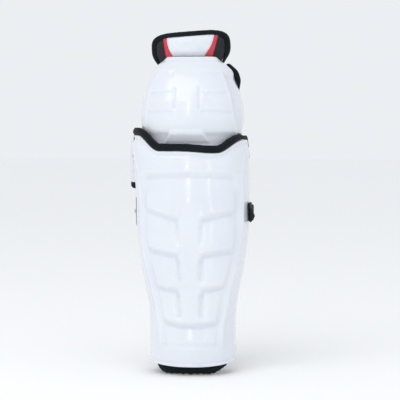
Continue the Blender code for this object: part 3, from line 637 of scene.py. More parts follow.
def shin_relief(x, z, top, hem):
    """How far the shin moulding stands proud of its plain shape."""
    rail = np.where(x < 0, along(RAIL_LEFT, z)[..., 0], along(RAIL_RIGHT, z)[..., 0])
    beyond = np.abs(x) - rail
    on_panel = ease(-beyond / PANEL_SLOPE)
    ends = ease((z - 0.030) / 0.020) * ease((top - 0.004 - z) / 0.012)
    height = RAIL_HEIGHT * bell(beyond, RAIL_WIDTH) * ends
    gutter = bell(beyond + GUTTER_AT, GUTTER_WIDTH) * ends * ease((GUTTER_TOP - z) / 0.02)
    height = height - GUTTER_DEPTH * gutter + PANEL_RISE * on_panel * ends
    for groove in GROOVES:
        off = z - groove_line(groove, x, rail)
        lip = groove[5] * (1 - np.clip(off / LIP_RISE, 0, 1)) ** 2
        above = mix(-groove[4], lip, ease(off / LIP_FALL))
        below = -groove[4] * (1 - np.clip(-off / CELL_RISE, 0, 1)) ** 1.6
        reach = ease((-beyond - 0.002) / 0.012)
        if groove[3]:
            inner = np.where(x < 0, -SPINE_LEFT, SPINE_RIGHT)
            reach = reach * ease((np.abs(x) - inner + 0.0045) / 0.0090)
        height = height + np.where(off > 0, above, below) * reach
    for line, slant in SPINE_SLANTS:
        for low, high, depth in SPINE_GROOVES:
            up = np.clip((z - low) / (high - low), 0, 1)
            span = ease((z - low) / 0.010) * ease((high + 0.002 - z) / 0.008)
            height = height - depth * bell(x - line - slant * (up - 0.5), SPINE_GROOVE_WIDTH) * span
    height = height - FOOT_LINE_DEPTH * bell(z - FOOT_LINE_Z, FOOT_LINE_WIDTH) * ease(-beyond / 0.004)
    return height + edge_relief(top - z, EDGE_LIP, EDGE_DIP) + edge_relief(z - hem, HEM_LIP, HEM_DIP)


def make_shin_moulding():
    u, v = grid(*SHELL_GRID)
    top, hem = shell_top(u), shell_hem(u)
    z = mix(hem + SHELL_WALL / 2, top - SHELL_WALL / 2, (v + 1) / 2)
    base = shell_xyz(u, z)
    normal = normals_of(base)
    relief = shin_relief(base[..., 0], z, top, hem)[..., None]
    uneven = SHELL_UNEVEN * wobble(base[..., 0] + base[..., 1], z, 5, 0.06)[..., None]
    outer = base + normal * (relief + uneven)
    inner = shell_xyz(u, z, SHELL_WALL) + normal * (relief + uneven) * SHELL_INSIDE_SHARE
    made = sheet("shin_moulding", outer, inner, LOOKS["white_shell"])
    return settle(made, "shin_guard", "white_shell", "shin_shell")


CAP_FLANGE_LEFT = [(0.300, 0.0600), (0.326, 0.0640), (0.354, 0.0625),
                   (0.380, 0.0585), (0.404, 0.0500), (0.424, 0.0370)]
CAP_FLANGE_RIGHT = [(0.300, 0.0610), (0.326, 0.0650), (0.354, 0.0620),
                    (0.380, 0.0570), (0.405, 0.0480), (0.424, 0.0350)]
FLANGE_FROM, FLANGE_TO = 0.316, 0.414
FLANGE_STEP_LEFT, FLANGE_STEP_RIGHT = 0.0012, 0.0034
FLANGE_BEAD, FLANGE_RIB, FLANGE_WIDTH = 0.0008, 0.0014, 0.0024

# The cap's middle block: its upright lines, and the lines that run out from it as height and depth.
BLOCK_LEFT, BLOCK_RIGHT, BLOCK_MIDDLE, BLOCK_HALF = -0.0187, 0.0147, -0.0020, 0.0170
BLOCK_FROM, BLOCK_TO, BLOCK_LINE_DEPTH, BLOCK_LINE_WIDTH = 0.358, 0.393, 0.0015, 0.0026
CAP_LINES = ((0.3826, 0.0010), (0.3570, 0.0009), (0.4090, 0.0008))

# The raised chin at the cap's lower edge: it widens downwards.
CHIN_MIDDLE, CHIN_HALF, CHIN_HALF_AT, CHIN_SPREAD = -0.0025, 0.0245, 0.330, 0.55
CHIN_FROM, CHIN_TO, CHIN_RISE = 0.314, 0.336, 0.0016
CHIN_SIDE_DEPTH, CHIN_SIDE_Z, CHIN_SIDE_WIDTH = 0.0008, 0.3255, 0.0042
CAP_LIP, CAP_DIP, CAP_DIP_AT = 0.0006, 0.0004, 0.0048
CAP_GRID, CAP_INSIDE_SHARE = (212, 150), 0.85


def cap_relief(x, z):
    """How far the knee moulding stands proud of its plain shape."""
    edge = np.where(x < 0, along(CAP_FLANGE_LEFT, z)[..., 0], along(CAP_FLANGE_RIGHT, z)[..., 0])
    beyond = np.abs(x) - edge
    fade = ease((z - FLANGE_FROM) / 0.010) * ease((FLANGE_TO - z) / 0.012)
    step = np.where(x < 0, FLANGE_STEP_LEFT, FLANGE_STEP_RIGHT)
    height = -step * ease((beyond + 0.0015) / 0.003) * fade
    height = height + FLANGE_BEAD * bell(beyond + 0.0035, FLANGE_WIDTH) * fade
    height = height + FLANGE_RIB * bell(beyond - 0.0085, FLANGE_WIDTH) * fade * (x > 0)
    for line in (BLOCK_LEFT, BLOCK_RIGHT):
        span = ease((z - BLOCK_FROM) / 0.006) * ease((BLOCK_TO - z) / 0.006)
        height = height - BLOCK_LINE_DEPTH * bell(x - line, BLOCK_LINE_WIDTH) * span
    outside = ease((np.abs(x - BLOCK_MIDDLE) - BLOCK_HALF) / 0.003) * ease(-beyond / 0.008)
    for line, depth in CAP_LINES:
        off = z - line - 0.0010 * np.sin(np.abs(x) * 60)
        height = height - depth * np.where(off > 0, bell(off, 0.0022), bell(off, 0.0060)) * outside
    half = CHIN_HALF + (CHIN_HALF_AT - z) * CHIN_SPREAD
    chin = ease((half - np.abs(x - CHIN_MIDDLE)) / 0.0035)
    beside = bell(z - CHIN_SIDE_Z, CHIN_SIDE_WIDTH) * (1 - chin)
    span = ease((CHIN_TO - z) / 0.008) * ease((z - CHIN_FROM) / 0.006)
    height = height + CHIN_RISE * chin * span - CHIN_SIDE_DEPTH * beside
    return height + CAP_LIP * bell(CAP_TOP - z, 0.0020) - CAP_DIP * bell(CAP_TOP - z - CAP_DIP_AT, 0.0020)


def make_knee_moulding():
    u, v = grid(*CAP_GRID)
    z = mix(CAP_BOTTOM + CAP_WALL / 2, CAP_TOP - 0.0008, (v + 1) / 2)
    base = cap_xyz(u, z)
    normal = normals_of(base)
    relief = cap_relief(base[..., 0], z)[..., None]
    outer = base + normal * relief
    inner = cap_xyz(u, z, CAP_WALL) + normal * relief * CAP_INSIDE_SHARE
    made = sheet("knee_moulding", outer, inner, LOOKS["white_shell"])
    return settle(made, "knee_cap", "white_shell", "knee_cap_shell")


# ---------------------------------------------------------------- padded liner


ROLL_THINS_FROM, ROLL_THINS_OVER = 0.45, 0.25
ROLL_ACROSS, ROLL_UP = 1.04, 0.97
ROLL_SEAM_ANGLE, ROLL_SEAM_DEPTH, ROLL_SEAM_WIDTH = math.radians(120), 0.13, 0.16


def roll_radius(u):
    return mix(ROLL_RADIUS, ROLL_THIN, ease((u - ROLL_THINS_FROM) / ROLL_THINS_OVER))


def make_edge_roll():
    """The liner's padded edge on top of the shin moulding, with its sewn seam in front."""
    u = np.linspace(-1, 1, 300)
    z = shell_top(u)
    ahead, behind = np.minimum(u + 0.01, 1), np.maximum(u - 0.01, -1)
    travel = shell_xyz(ahead, shell_top(ahead)) - shell_xyz(behind, shell_top(behind))
    low, high = shell_xyz(u, z - 0.002), shell_xyz(u, z + 0.002)
    out = unit(np.cross(travel, high - low))
    lift = unit(np.cross(out, travel))
    lift = lift * np.sign(lift[:, 2:3])
    radius = roll_radius(u)[:, None]
    path = shell_xyz(u, z, SHELL_WALL / 2) + lift * (radius + ROLL_GAP)

    def shape(distance, angle):
        gather = 1 + 0.05 * wobble(distance, angle * 0.004, 11, 0.011)
        gather = gather + 0.03 * wobble(distance, angle * 0.01, 12, 0.027)
        off_seam = (angle - ROLL_SEAM_ANGLE + math.pi) % math.tau - math.pi
        return gather * (1 - ROLL_SEAM_DEPTH * bell(np.abs(off_seam), ROLL_SEAM_WIDTH))

    radii = np.concatenate([radius * ROLL_ACROSS, radius * ROLL_UP], axis=1)
    made = sweep("edge_roll", path, out, radii, LOOKS["black_fabric"], sides=28, square=2.3, shape=shape)
    return settle(made, "shin_guard", "black_fabric", "shin_edge_roll", fill=0.7)


CUFF_REACH, CUFF_FOOT, CUFF_GATHER = 0.955, 0.0040, 0.0008
CUFF_RIGHT_RISE, CUFF_RIGHT_FROM, CUFF_RIGHT_OVER = 0.0085, 0.027, 0.0225
CUFF_LEFT_FROM, CUFF_LEFT_OVER = 0.036, 0.0135
CUFF_HALF_LENGTH = 0.085


def make_foot_cuff():
    """The liner's padded foot, gathered along its lower edge."""
    u, v = grid(190, 26)
    share = (v + 1) / 2
    x = shell_xyz(CUFF_REACH * u, np.full_like(u, 0.010), FOOT_CUFF[0])[..., 0]
    right = CUFF_RIGHT_RISE * np.clip((x - CUFF_RIGHT_FROM) / CUFF_RIGHT_OVER, 0, 1) ** 2
    left = CUFF_CORNER * np.clip((-x - CUFF_LEFT_FROM) / CUFF_LEFT_OVER, 0, 1) ** 2
    run = u * CUFF_HALF_LENGTH
    gathers = CUFF_GATHER * np.abs(np.sin(run * math.pi / GATHER + 0.8 * wobble(run, run * 0, 21, 0.05)))
    z = mix(CUFF_FOOT + gathers + right + left, CUFF_TOP, share)
    outer = shell_xyz(CUFF_REACH * u, z, FOOT_CUFF[0] + 0.0003 + 0.0004 * wobble(run, z, 22, 0.015))
    inner = shell_xyz(CUFF_REACH * u, z, FOOT_CUFF[1] + 0.0004 * wobble(run, z, 23, 0.013))
    made = sheet("foot_cuff", outer, inner, LOOKS["black_fabric"], rim=7, bulge=0.85)
    return settle(made, "shin_guard", "black_fabric", "liner_foot_cuff", fill=0.7)


LINER_REACH, LINER_GAP = 0.985, 0.0012
LINER_HALVES, LINER_ROLL = (0.115, 0.125), 0.009
LINER_CHANNELS = ((0.205, 0.016), (0.62, 0.014))


def make_shin_liner():
    """The fabric-covered foam liner, sewn into a border and three upright channels."""
    u, v = grid(190, 130)
    share = (v + 1) / 2
    z = mix(CUFF_TOP + LINER_GAP, LINER_TOP - LINER_GAP, share)
    run = u * LINER_REACH
    height = pillow(u, v, LINER_HALVES, LINER_ROLL)
    seams = sum(bell(np.abs(np.abs(u) - middle), width) for middle, width in LINER_CHANNELS)
    border = bell(LINER_HALVES[1] * (1 - np.abs(v)) - 0.014, 0.0022)
    border = border + bell(LINER_HALVES[0] * (1 - np.abs(u)) - 0.012, 0.0022)
    puff = 1 - 0.28 * np.clip(seams + border, 0, 1) + 0.03 * wobble(run * 0.11, z, 31, 0.030)
    depth = SHIN_LINER[1] - SHIN_LINER[0]
    outer = shell_xyz(run, z, SHIN_LINER[0] + 0.0008)
    inner = shell_xyz(run, z, SHIN_LINER[0] + 0.0016 + (depth - 0.0016) * height * puff)
    made = sheet("shin_liner", outer, inner, LOOKS["lining"], rim=4)
    return settle(made, "shin_guard", "lining", "shin_liner_foam", "shin_liner_cover", fill=0.55)


PAD_MIDDLES = (("left", -0.40), ("center", 0.0), ("right", 0.40))
PAD_Z, PAD_HALF_HEIGHT, PAD_HALF_RUN = 0.150, 0.100, 0.17
PAD_HALVES, PAD_ROLL, PAD_FLANGE = (0.022, 0.100), 0.011, 0.0012
PAD_RIBS = (-0.66, -0.22, 0.22, 0.66)


def make_calf_pads():
    """Three comfort pads on the liner, each a crowned cushion with a sewn edge."""
    for name, middle in PAD_MIDDLES:
        u, v = grid(56, 110)
        z = PAD_Z + PAD_HALF_HEIGHT * v
        run = middle + PAD_HALF_RUN * u
        height = pillow(u, v, PAD_HALVES, PAD_ROLL)
        flange = PAD_FLANGE * pillow(u, v, PAD_HALVES, 0.0015)
        ribs = 0.10 * sum(bell(v - row, 0.035) for row in PAD_RIBS)
        swell = height ** 1.3 * (1 - ribs * 2.4) + 0.03 * wobble(u * 0.02, z, 40, 0.02) * height
        depth = CALF_PAD[1] - CALF_PAD[0] - PAD_FLANGE
        outer = shell_xyz(run, z, CALF_PAD[0] - 0.0002)
        inner = shell_xyz(run, z, CALF_PAD[0] + flange + depth * swell)
        made = sheet("comfort_pad_" + name, outer, inner, LOOKS["black_fabric"], rim=2)
        settle(made, "shin_guard", "lining", "calf_pad_" + name, fill=0.65)


KNEE_LINER_REACH, KNEE_LINER_HALVES, KNEE_LINER_ROLL = 0.93, (0.100, 0.042), 0.009


def make_knee_liner():
    """The fabric-covered foam inside the knee moulding."""
    u, v = grid(150, 80)
    low, high = KNEE_LINER_HEIGHTS
    z = mix(low + 0.001, high - 0.001, (v + 1) / 2)
    height = pillow(u, v, KNEE_LINER_HALVES, KNEE_LINER_ROLL)
    seams = bell(np.abs(np.abs(u) - 0.33), 0.022) * ease((0.95 - np.abs(v)) / 0.1)
    border = bell(KNEE_LINER_HALVES[1] * (1 - np.abs(v)) - 0.0095, 0.0018)
    puff = 1 - 0.26 * np.clip(seams + border, 0, 1) + 0.03 * wobble(u * 0.1, z, 51, 0.025)
    depth = KNEE_LINER[1] - KNEE_LINER[0]
    outer = cap_xyz(KNEE_LINER_REACH * u, z, KNEE_LINER[0] + 0.0004)
    inner = cap_xyz(KNEE_LINER_REACH * u, z, KNEE_LINER[0] + 0.0014 + (depth - 0.0014) * height * puff)
    made = sheet("knee_liner", outer, inner, LOOKS["lining"], rim=4)
    settle(made, "knee_cap", "lining", "knee_liner_foam", "knee_liner_cover", fill=0.55)


# The right roll rises into an ear beside the cap: height, distance in from the cap's side, and behind it.
KNEE_ROLL_LOW, KNEE_ROLL_TOPS = 0.322, {-1: 0.4040, 1: 0.4200}
KNEE_ROLL_INSET, KNEE_ROLL_TOP_INSETS = 0.0085, {-1: 0.0040, 1: 0.0010}
KNEE_ROLL_BEHIND, EAR_BEHIND, EAR_TIP_BEHIND = 0.0068, 0.0050, 0.0100
EAR_FROM, EAR_TIP_FROM, EAR_SWELL = 0.380, 0.408, 0.0024


def make_knee_rolls():
    """The liner's padded edges behind both sides of the knee moulding."""
    for name, side in (("left", -1), ("right", 1)):
        z = np.linspace(KNEE_ROLL_LOW, KNEE_ROLL_TOPS[side], 90)
        stations = along(CAP, z)
        inset = mix(KNEE_ROLL_INSET, KNEE_ROLL_TOP_INSETS[side], ease((z - 0.385) / 0.020))
        ear = ease((z - EAR_FROM) / 0.030) * (side > 0)
        tip = ease((z - EAR_TIP_FROM) / 0.014) * (side > 0)
        behind = KNEE_ROLL_BEHIND + EAR_BEHIND * ear + EAR_TIP_BEHIND * tip
        path = points(side * (stations[:, 0] - inset - 0.0002 * ear), stations[:, 3] + behind, z)
        out = np.tile([side * 1.0, -0.3, 0.0], (len(z), 1))

        def shape(distance, angle):
            return 1 + 0.05 * wobble(distance, angle * 0.004, 60 + side, 0.012)

        fuller = ear * (1 - 0.7 * ease((z - EAR_TIP_FROM) / 0.012))
        radii = np.stack([KNEE_ROLL_RADIUS + 0 * z, KNEE_ROLL_RADIUS * 0.96 + EAR_SWELL * fuller], axis=-1)
        made = sweep("knee_roll_" + name, path, out, radii, LOOKS["black_fabric"], sides=24, shape=shape)
        settle(made, "knee_cap", "black_fabric", "knee_edge_roll_" + name, fill=0.7)


# Each hook strip's name, bottom and flat length, then half its height and half its run round the shell.
HOOK_STRIPS = (("lower", 0.060, 0.090), ("upper", 0.200, 0.118))
HOOK_MIDDLE, HOOK_HALF, HOOK_HALF_RUN = 0.0125, 0.0120, 0.4


def make_hook_strips():
    """The pile strips that hold the liner to the shin moulding."""
    for name, bottom, length in HOOK_STRIPS:
        u, v = grid(120, 16)
        z = bottom + HOOK_MIDDLE + HOOK_HALF * v
        fuzz = 0.00012 * wobble(u * 0.07, z, 70, 0.0035)
        outer = shell_xyz(HOOK_HALF_RUN * u, z, HOOK_STRIP[0])
        inner = shell_xyz(HOOK_HALF_RUN * u, z, HOOK_STRIP[1] + fuzz)
        made = sheet("hook_strip_" + name, outer, inner, LOOKS["hook_loop"], rim=1)
        settle(made, "shin_guard", "hook_loop", "liner_hook_strip_" + name)


# ---------------------------------------------------------------- thigh flap


FACE_SWELL, FACE_ROLL, FACE_DIP, FACE_THICK = 0.0016, 0.010, 0.0014, 0.0012
FACE_DIP_FROM, FACE_DIP_OVER = 0.0040, 0.0160
SEAM_DEPTH, SEAM_WIDTH, SEAM_INSET = 0.0007, 0.0016, 0.0016
PANEL_LEAN, PANEL_LEAN_FROM, PANEL_LEAN_OVER = (-0.0013, 0.0014), 0.0025, 0.0260
CORE_OVERLAP, BACK_FACE, BACK_EDGE = 0.0012, 0.0019, 0.003

# The binding: how far its ends stay above the flap's low edge, and its radii at its ends and elsewhere.
BINDING_CLEAR, BINDING_GROWS_FROM, BINDING_GROWS_OVER = 0.0030, 0.006, 0.018
BINDING_END, BINDING_FULL, BINDING_END_SHARE = (0.0019, 0.0028), (0.0040, 0.0062), 0.988


def flap_half_width(h, shrink=0.0):
    half = FLAP_HALF - shrink
    below = np.clip((h - FLAP_SHOULDER) / (FLAP_LOW - FLAP_SHOULDER), 0, None)
    share = np.clip((h - FLAP_SHOULDER) / (FLAP_RISE + FLAP_BLUNT - shrink), 0, 1)
    upper = half * (1 - share**FLAP_CORNER) ** (1 / FLAP_CORNER)
    return np.where(h < FLAP_SHOULDER, half - FLAP_TAPER * below**1.6, upper)


def flap_height(v, shrink=0.0):
    return mix(FLAP_LOW, FLAP_SHOULDER + FLAP_RISE - shrink, np.sin(v * math.pi / 2))


def flap_xyz(x, h, inset):
    y = FLAP_FRONT + FLAP_CURL * (x / FLAP_HALF) ** 2 + FLAP_LEAN * h + inset
    height = FLAP_FOLD_Z + h - FLAP_MIDDLE[1]
    turned_x = x * math.cos(FLAP_TILT) - height * math.sin(FLAP_TILT)
    turned_z = x * math.sin(FLAP_TILT) + height * math.cos(FLAP_TILT)
    return points(FLAP_MIDDLE[0] + turned_x, y, FLAP_MIDDLE[1] + turned_z)


def flap_swell(x, h):
    """How far the flap's face stands out over its foam."""
    x = np.abs(x)
    edge = flap_half_width(h, CORE_SHRINK) + 0.001
    inside = np.clip((edge - x) / FACE_ROLL, 0, 1)
    top = np.clip((FLAP_SHOULDER + FLAP_RISE - CORE_SHRINK + 0.001 - h) / FACE_ROLL, 0, 1)
    low = ease((h + FACE_DIP_FROM) / FACE_DIP_OVER)
    swell = FACE_SWELL * np.sqrt(1 - (1 - inside) ** 2) * np.sqrt(1 - (1 - top) ** 2)
    return swell * low - FACE_DIP * (1 - low)


def flap_panel(name, top, start_edge, end_edge, look, node_name, columns=40):
    """One sewn panel of the flap's face. Its edges dip into the seams."""
    u, v = grid(columns, 70)
    h = mix(FLAP_LOW, top, (v + 1) / 2)
    start, end = start_edge(h), end_edge(h)
    x = mix(start, end, (u + 1) / 2)
    width = end - start
    seam = SEAM_DEPTH * (1 - np.clip((1 - np.abs(u)) * width / 2 / SEAM_WIDTH, 0, 1)) ** 2
    face = -flap_swell(x, h) + seam + 0.00010 * wobble(x, h, 81, 0.014)
    made = sheet(name, flap_xyz(x, h, face), flap_xyz(x, h, face + FACE_THICK), LOOKS[look], rim=2)
    return settle(made, "thigh_flap", look, node_name, fill=0.45)


def panel_lean(h):
    """The coloured panels are sewn in leaning a little to the right."""
    return mix(*PANEL_LEAN, (h - PANEL_LEAN_FROM) / PANEL_LEAN_OVER)


def white_edge(h, side):
    return side * along(WHITE_EDGE, h)[..., 0] + panel_lean(h)


def red_edge(h, side):
    return side * along(RED_EDGE, h)[..., 0] + panel_lean(h)


def core_edge(h, side):
    return side * flap_half_width(h, CORE_SHRINK - CORE_OVERLAP)


# Each coloured panel: its name, its plain solid, and the edges that it lies between.
FLAP_PANELS = (("red", "flap_red_stripe_", white_edge, red_edge),
               ("black", "flap_side_panel_", red_edge, core_edge))
FLAP_SEAMS = (("white", white_edge, -SEAM_INSET, WHITE_THREAD), ("black", red_edge, SEAM_INSET, THREAD))


def make_flap_face():
    top = FLAP_SHOULDER + FLAP_RISE - CORE_SHRINK + 0.0010
    whites = [lambda h, side=side: white_edge(h, side) for side in (-1, 1)]
    flap_panel("flap_face_white", top, *whites, "white_vinyl", "flap_white_panel", 110)
    for name, side in (("left", -1), ("right", 1)):
        for piece, plain, near, far in FLAP_PANELS:
            pair = [lambda h, edge=edge, side=side: edge(h, side) for edge in (near, far)]
            flap_panel(f"flap_face_{piece}_{name}", top, *pair[::side], piece + "_vinyl", plain + name)
        h = np.linspace(FLAP_LOW + 0.008, top - 0.001, 120)
        for row, edge, shift, look in FLAP_SEAMS:
            x = edge(h, side) + side * shift
            path = flap_xyz(x, h, -flap_swell(x, h) + 0.0001)
            out = np.tile([0.0, -1.0, 0.0], (len(h), 1))
            sewn = stitches(f"flap_seam_{row}_{name}", path, out, look, 0.0022, 0.0032, 0.00032)
            settle(sewn, "thigh_flap", row + "_vinyl")


def make_flap_back():
    """The flap's foam and its mesh lining, quilted in two curved rows."""
    u, v = grid(150, 80)
    h = flap_height((v + 1) / 2, CORE_SHRINK)
    x = u * flap_half_width(h, CORE_SHRINK)
    depth = FLAP_DEPTH - 0.0021
    height = pillow(u, v, (0.046, 0.024), 0.006) ** 0.7
    rows = bell(h - 0.004 - 0.004 * u * u, 0.0022) + bell(h - 0.018 + 0.003 * u * u, 0.0022)
    puff = 1 + 0.14 * height - 0.22 * rows * ease((0.93 - np.abs(u)) / 0.1) + 0.02 * wobble(x, h, 83, 0.02)
    outer = flap_xyz(x, h, BACK_FACE)
    inner = flap_xyz(x, h, BACK_FACE + BACK_EDGE + (depth - BACK_EDGE) * height * puff)
    made = sheet("flap_back", outer, inner, LOOKS["lining"], rim=3)
    settle(made, "thigh_flap", "lining", "flap_foam", "flap_lining", fill=0.55)


def flap_rim(shrink, count):
    """Points round the flap's sides and top, as x and h."""
    heights = flap_height(np.linspace(0, 1, count), shrink)
    right_x = flap_half_width(heights, shrink)
    across = np.linspace(right_x[-1], -right_x[-1], count)[1:-1]
    x = np.concatenate([right_x, across, -right_x[::-1]])
    h = np.concatenate([heights, np.full(len(across), heights[-1]), heights[::-1]])
    run = np.concatenate([[0], np.cumsum(np.hypot(np.diff(x), np.diff(h)))])
    even = np.linspace(0, run[-1], 3 * count)
    return np.interp(even, run, x), np.interp(even, run, h)


def make_flap_binding():
    """The folded cloth binding round the flap, with a row of stitches on its face and back."""
    x, h = flap_rim(BINDING, 90)
    kept = h > FLAP_LOW + BINDING_CLEAR
    x, h = x[kept], h[kept]
    full = ease((h - FLAP_LOW - BINDING_GROWS_FROM) / BINDING_GROWS_OVER)
    path = flap_xyz(x * mix(BINDING_END_SHARE, 1.0, full), h, FLAP_DEPTH / 2 - 0.0003)
    out = np.tile([0.0, -1.0, 0.0], (len(x), 1))

    def shape(distance, angle):
        fine, broad = wobble(distance, angle * 0.003, 91, 0.008), wobble(distance, angle * 0.01, 92, 0.03)
        return 1 + 0.022 * fine + 0.018 * broad

    radii = np.stack([mix(end, whole, full) for end, whole in zip(BINDING_END, BINDING_FULL)], axis=-1)
    look = LOOKS["black_fabric"]
    made = sweep("flap_edge_binding", path, out, radii, look, sides=32, square=2.8, shape=shape)
    settle(made, "thigh_flap", "black_fabric", "flap_binding", fill=0.5)
    x, h = flap_rim(BINDING + 0.0016, 90)
    x, h = x[h > 0.0040], h[h > 0.0040]
    for row, inset, way in (("front", -0.0008, -1.0), ("back", FLAP_DEPTH + 0.0002, 1.0)):
        seam = flap_xyz(x, h, inset)
        out = np.tile([0.0, way, 0.0], (len(x), 1))
        sewn = stitches("flap_binding_seam_" + row, seam, out, THREAD, 0.0024, 0.0034, 0.00036)
        settle(sewn, "thigh_flap", "black_fabric")


def make_flap_hinge():
    """The webbing that joins the flap to the knee moulding and bends at the fold."""
    u, v = grid(70, 44)
    share = (v + 1) / 2
    z = mix(0.4050, 0.4330, share)
    low = cap_xyz(0.42 * u, np.minimum(z, 0.4300), 0.0035)
    x = low[..., 0]
    high = flap_xyz(x - FLAP_MIDDLE[0], z - FLAP_FOLD_Z, -0.0010)
    share = ease((z - 0.4130) / 0.016)[..., None]
    face = points(x, mix(low, high, share)[..., 1], z)
    made = sheet("flap_hinge_webbing", face, face + np.array([0, 0.0012, 0]), LOOKS["elastic"], rim=1)
    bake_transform(made)
    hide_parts("flap_hinge_strip")


# ---------------------------------------------------------------- calf wing


WING_FACE_THICK, WING_CROWN, WING_TUCK = 0.0016, 0.0014, 0.0006
WING_HALVES, WING_ROLL, WING_QUILT_ROWS = (0.024, 0.027), 0.008, (-0.34, 0.34)
WING_BACK_FACE, WING_BACK_EDGE, WING_WHITE_TO = 0.0018, 0.0034, 0.55
WING_BINDING_REACH, WING_BINDING_RADII, WING_BINDING_SMOOTHINGS = 0.085, (0.0050, 0.0046), 12


def bezier(t):
    ends = np.array(WING_PATH)
    t = np.asarray(t, float)[..., None]
    weights = ((1 - t) ** 3, 3 * t * (1 - t) ** 2, 3 * t * t * (1 - t), t**3)
    spot = sum(p * w for p, w in zip(ends, weights))
    steps = np.diff(ends, axis=0)
    travel = unit(sum(s * w for s, w in zip(steps, ((1 - t) ** 2, 2 * t * (1 - t), t * t))))
    return spot, np.stack([-travel[..., 1], travel[..., 0]], axis=-1)


def wing_xyz(t, z, inset):
    spot, normal = bezier(t)
    inner = spot - normal * np.asarray(inset)[..., None]
    return points(inner[..., 0], inner[..., 1], z)


def wing_heights(t):
    low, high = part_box("wing_skin")[0].z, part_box("wing_skin")[1].z
    return low + WING_ROUNDING * t * t, high - WING_ROUNDING * t * t


def make_calf_wing():
    u, v = grid(90, 80)
    t = WING_REACH * (1 - (u + 1) / 2)
    low, high = wing_heights(t)
    z = mix(low, high, (v + 1) / 2)
    height = pillow(u, v, WING_HALVES, WING_ROLL)
    crown = (WING_CROWN * height + 0.00012 * wobble(t * 0.05, z, 101, 0.016)) * ease(t / 0.30)
    crown = crown - WING_TUCK * (1 - ease(t / 0.25))
    seam = 0.0005 * bell(WING_HALVES[1] * (1 - np.abs(v)) - 0.0045, 0.0008)
    outer, inner = wing_xyz(t, z, -crown + seam), wing_xyz(t, z, WING_FACE_THICK - crown * 0.6)
    skin = sheet("wing_face", outer, inner, LOOKS["white_vinyl"], rim=2)
    settle(skin, "calf_wing", "white_vinyl", "wing_skin", fill=0.45)
    rows = sum(bell(v - row, 0.09) for row in WING_QUILT_ROWS) * ease((0.9 - np.abs(u)) / 0.15)
    depth = mix(WING_BACK_EDGE, WING_DEPTH, height**0.8 * (1 - 0.25 * rows))
    outer, inner = wing_xyz(t, z, np.full_like(t, WING_BACK_FACE)), wing_xyz(t, z, depth)
    back = sheet("wing_back", outer, inner, LOOKS["lining"], rim=3)
    settle(back, "calf_wing", "lining", "wing_foam", "wing_lining", fill=0.55)


def wing_rim(clear, rear_t, count):
    """The wing's bound edge as t and z: along the bottom, up the rear and back along the top."""
    t = np.linspace(0, rear_t, count)
    low, high = wing_heights(t)
    up = np.linspace(low[-1] - clear, high[-1] + clear, count)[1:-1]
    all_t = np.concatenate([t, np.full(len(up), rear_t), t[::-1]])
    return all_t, np.concatenate([low - clear, up, high[::-1] + clear])


def make_wing_binding():
    """The wing's cloth binding. The front of its top edge is turned in white vinyl."""
    clear = WING_BINDING + 0.0004
    t, z = wing_rim(clear - 0.0008, WING_REACH + WING_BINDING_REACH, 70)
    path = wing_xyz(t, z, np.full_like(t, WING_DEPTH / 2))
    for _ in range(WING_BINDING_SMOOTHINGS):
        path[1:-1] = (path[:-2] + 2 * path[1:-1] + path[2:]) / 4
    _, normal = bezier(t)
    out = points(normal[:, 0], normal[:, 1], 0 * t)

    def shape(distance, angle):
        return 1 + 0.03 * wobble(distance, angle * 0.003, 111, 0.009)

    white_from = len(t) - int(np.sum((z > z.mean()) & (t < WING_WHITE_TO)))
    parts = (("edge", "black_fabric", 0, white_from), ("top", "white_vinyl", white_from, len(t)))
    for name, look, start, end in parts:
        made = sweep(f"wing_{name}_binding", path[start:end], out[start:end], WING_BINDING_RADII, LOOKS[look],
                     sides=26, square=2.6, shape=shape)
        settle(made, "calf_wing", look, "wing_binding", fill=0.5)


def run_at(side, y, z):
    """The shell's run u on one side where its face reaches y."""
    low, high = np.zeros_like(z + y * 0.0), np.ones_like(z + y * 0.0)
    for _ in range(30):
        middle = (low + high) / 2
        before = shell_xyz(side * middle, z)[..., 1] < y
        low, high = np.where(before, middle, low), np.where(before, high, middle)
    return side * low


WING_HINGE_Z, WING_HINGE_Y, WING_HINGE_THICK = (0.2565, 0.2930), (-0.0100, 0.0260), 0.0011


def make_wing_hinge():
    """The webbing strip from inside the shell to the wing, which bends at the wing's joint."""
    u, v = grid(60, 50)
    z = mix(*WING_HINGE_Z, (v + 1) / 2)
    y = mix(*WING_HINGE_Y, (u + 1) / 2)
    shell_y = np.minimum(y, 0.0100)
    on_shell = shell_xyz(run_at(-1, shell_y, z), z, HOOK_STRIP[0])
    t = np.clip((y - 0.0150) / 0.040, 0, 1)
    on_wing = wing_xyz(t, z, np.full_like(t, WING_DEPTH + 0.0004))
    share = ease((y - 0.0080) / 0.0110)
    x = mix(on_shell[..., 0], on_wing[..., 0], share)
    face = points(x, y, z)
    inner = face + np.array([WING_HINGE_THICK, 0, 0])
    made = sheet("wing_hinge_webbing", face, inner, LOOKS["elastic"], rim=1)
    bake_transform(made)
    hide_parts("wing_hinge_strip")


# ---------------------------------------------------------------- straps


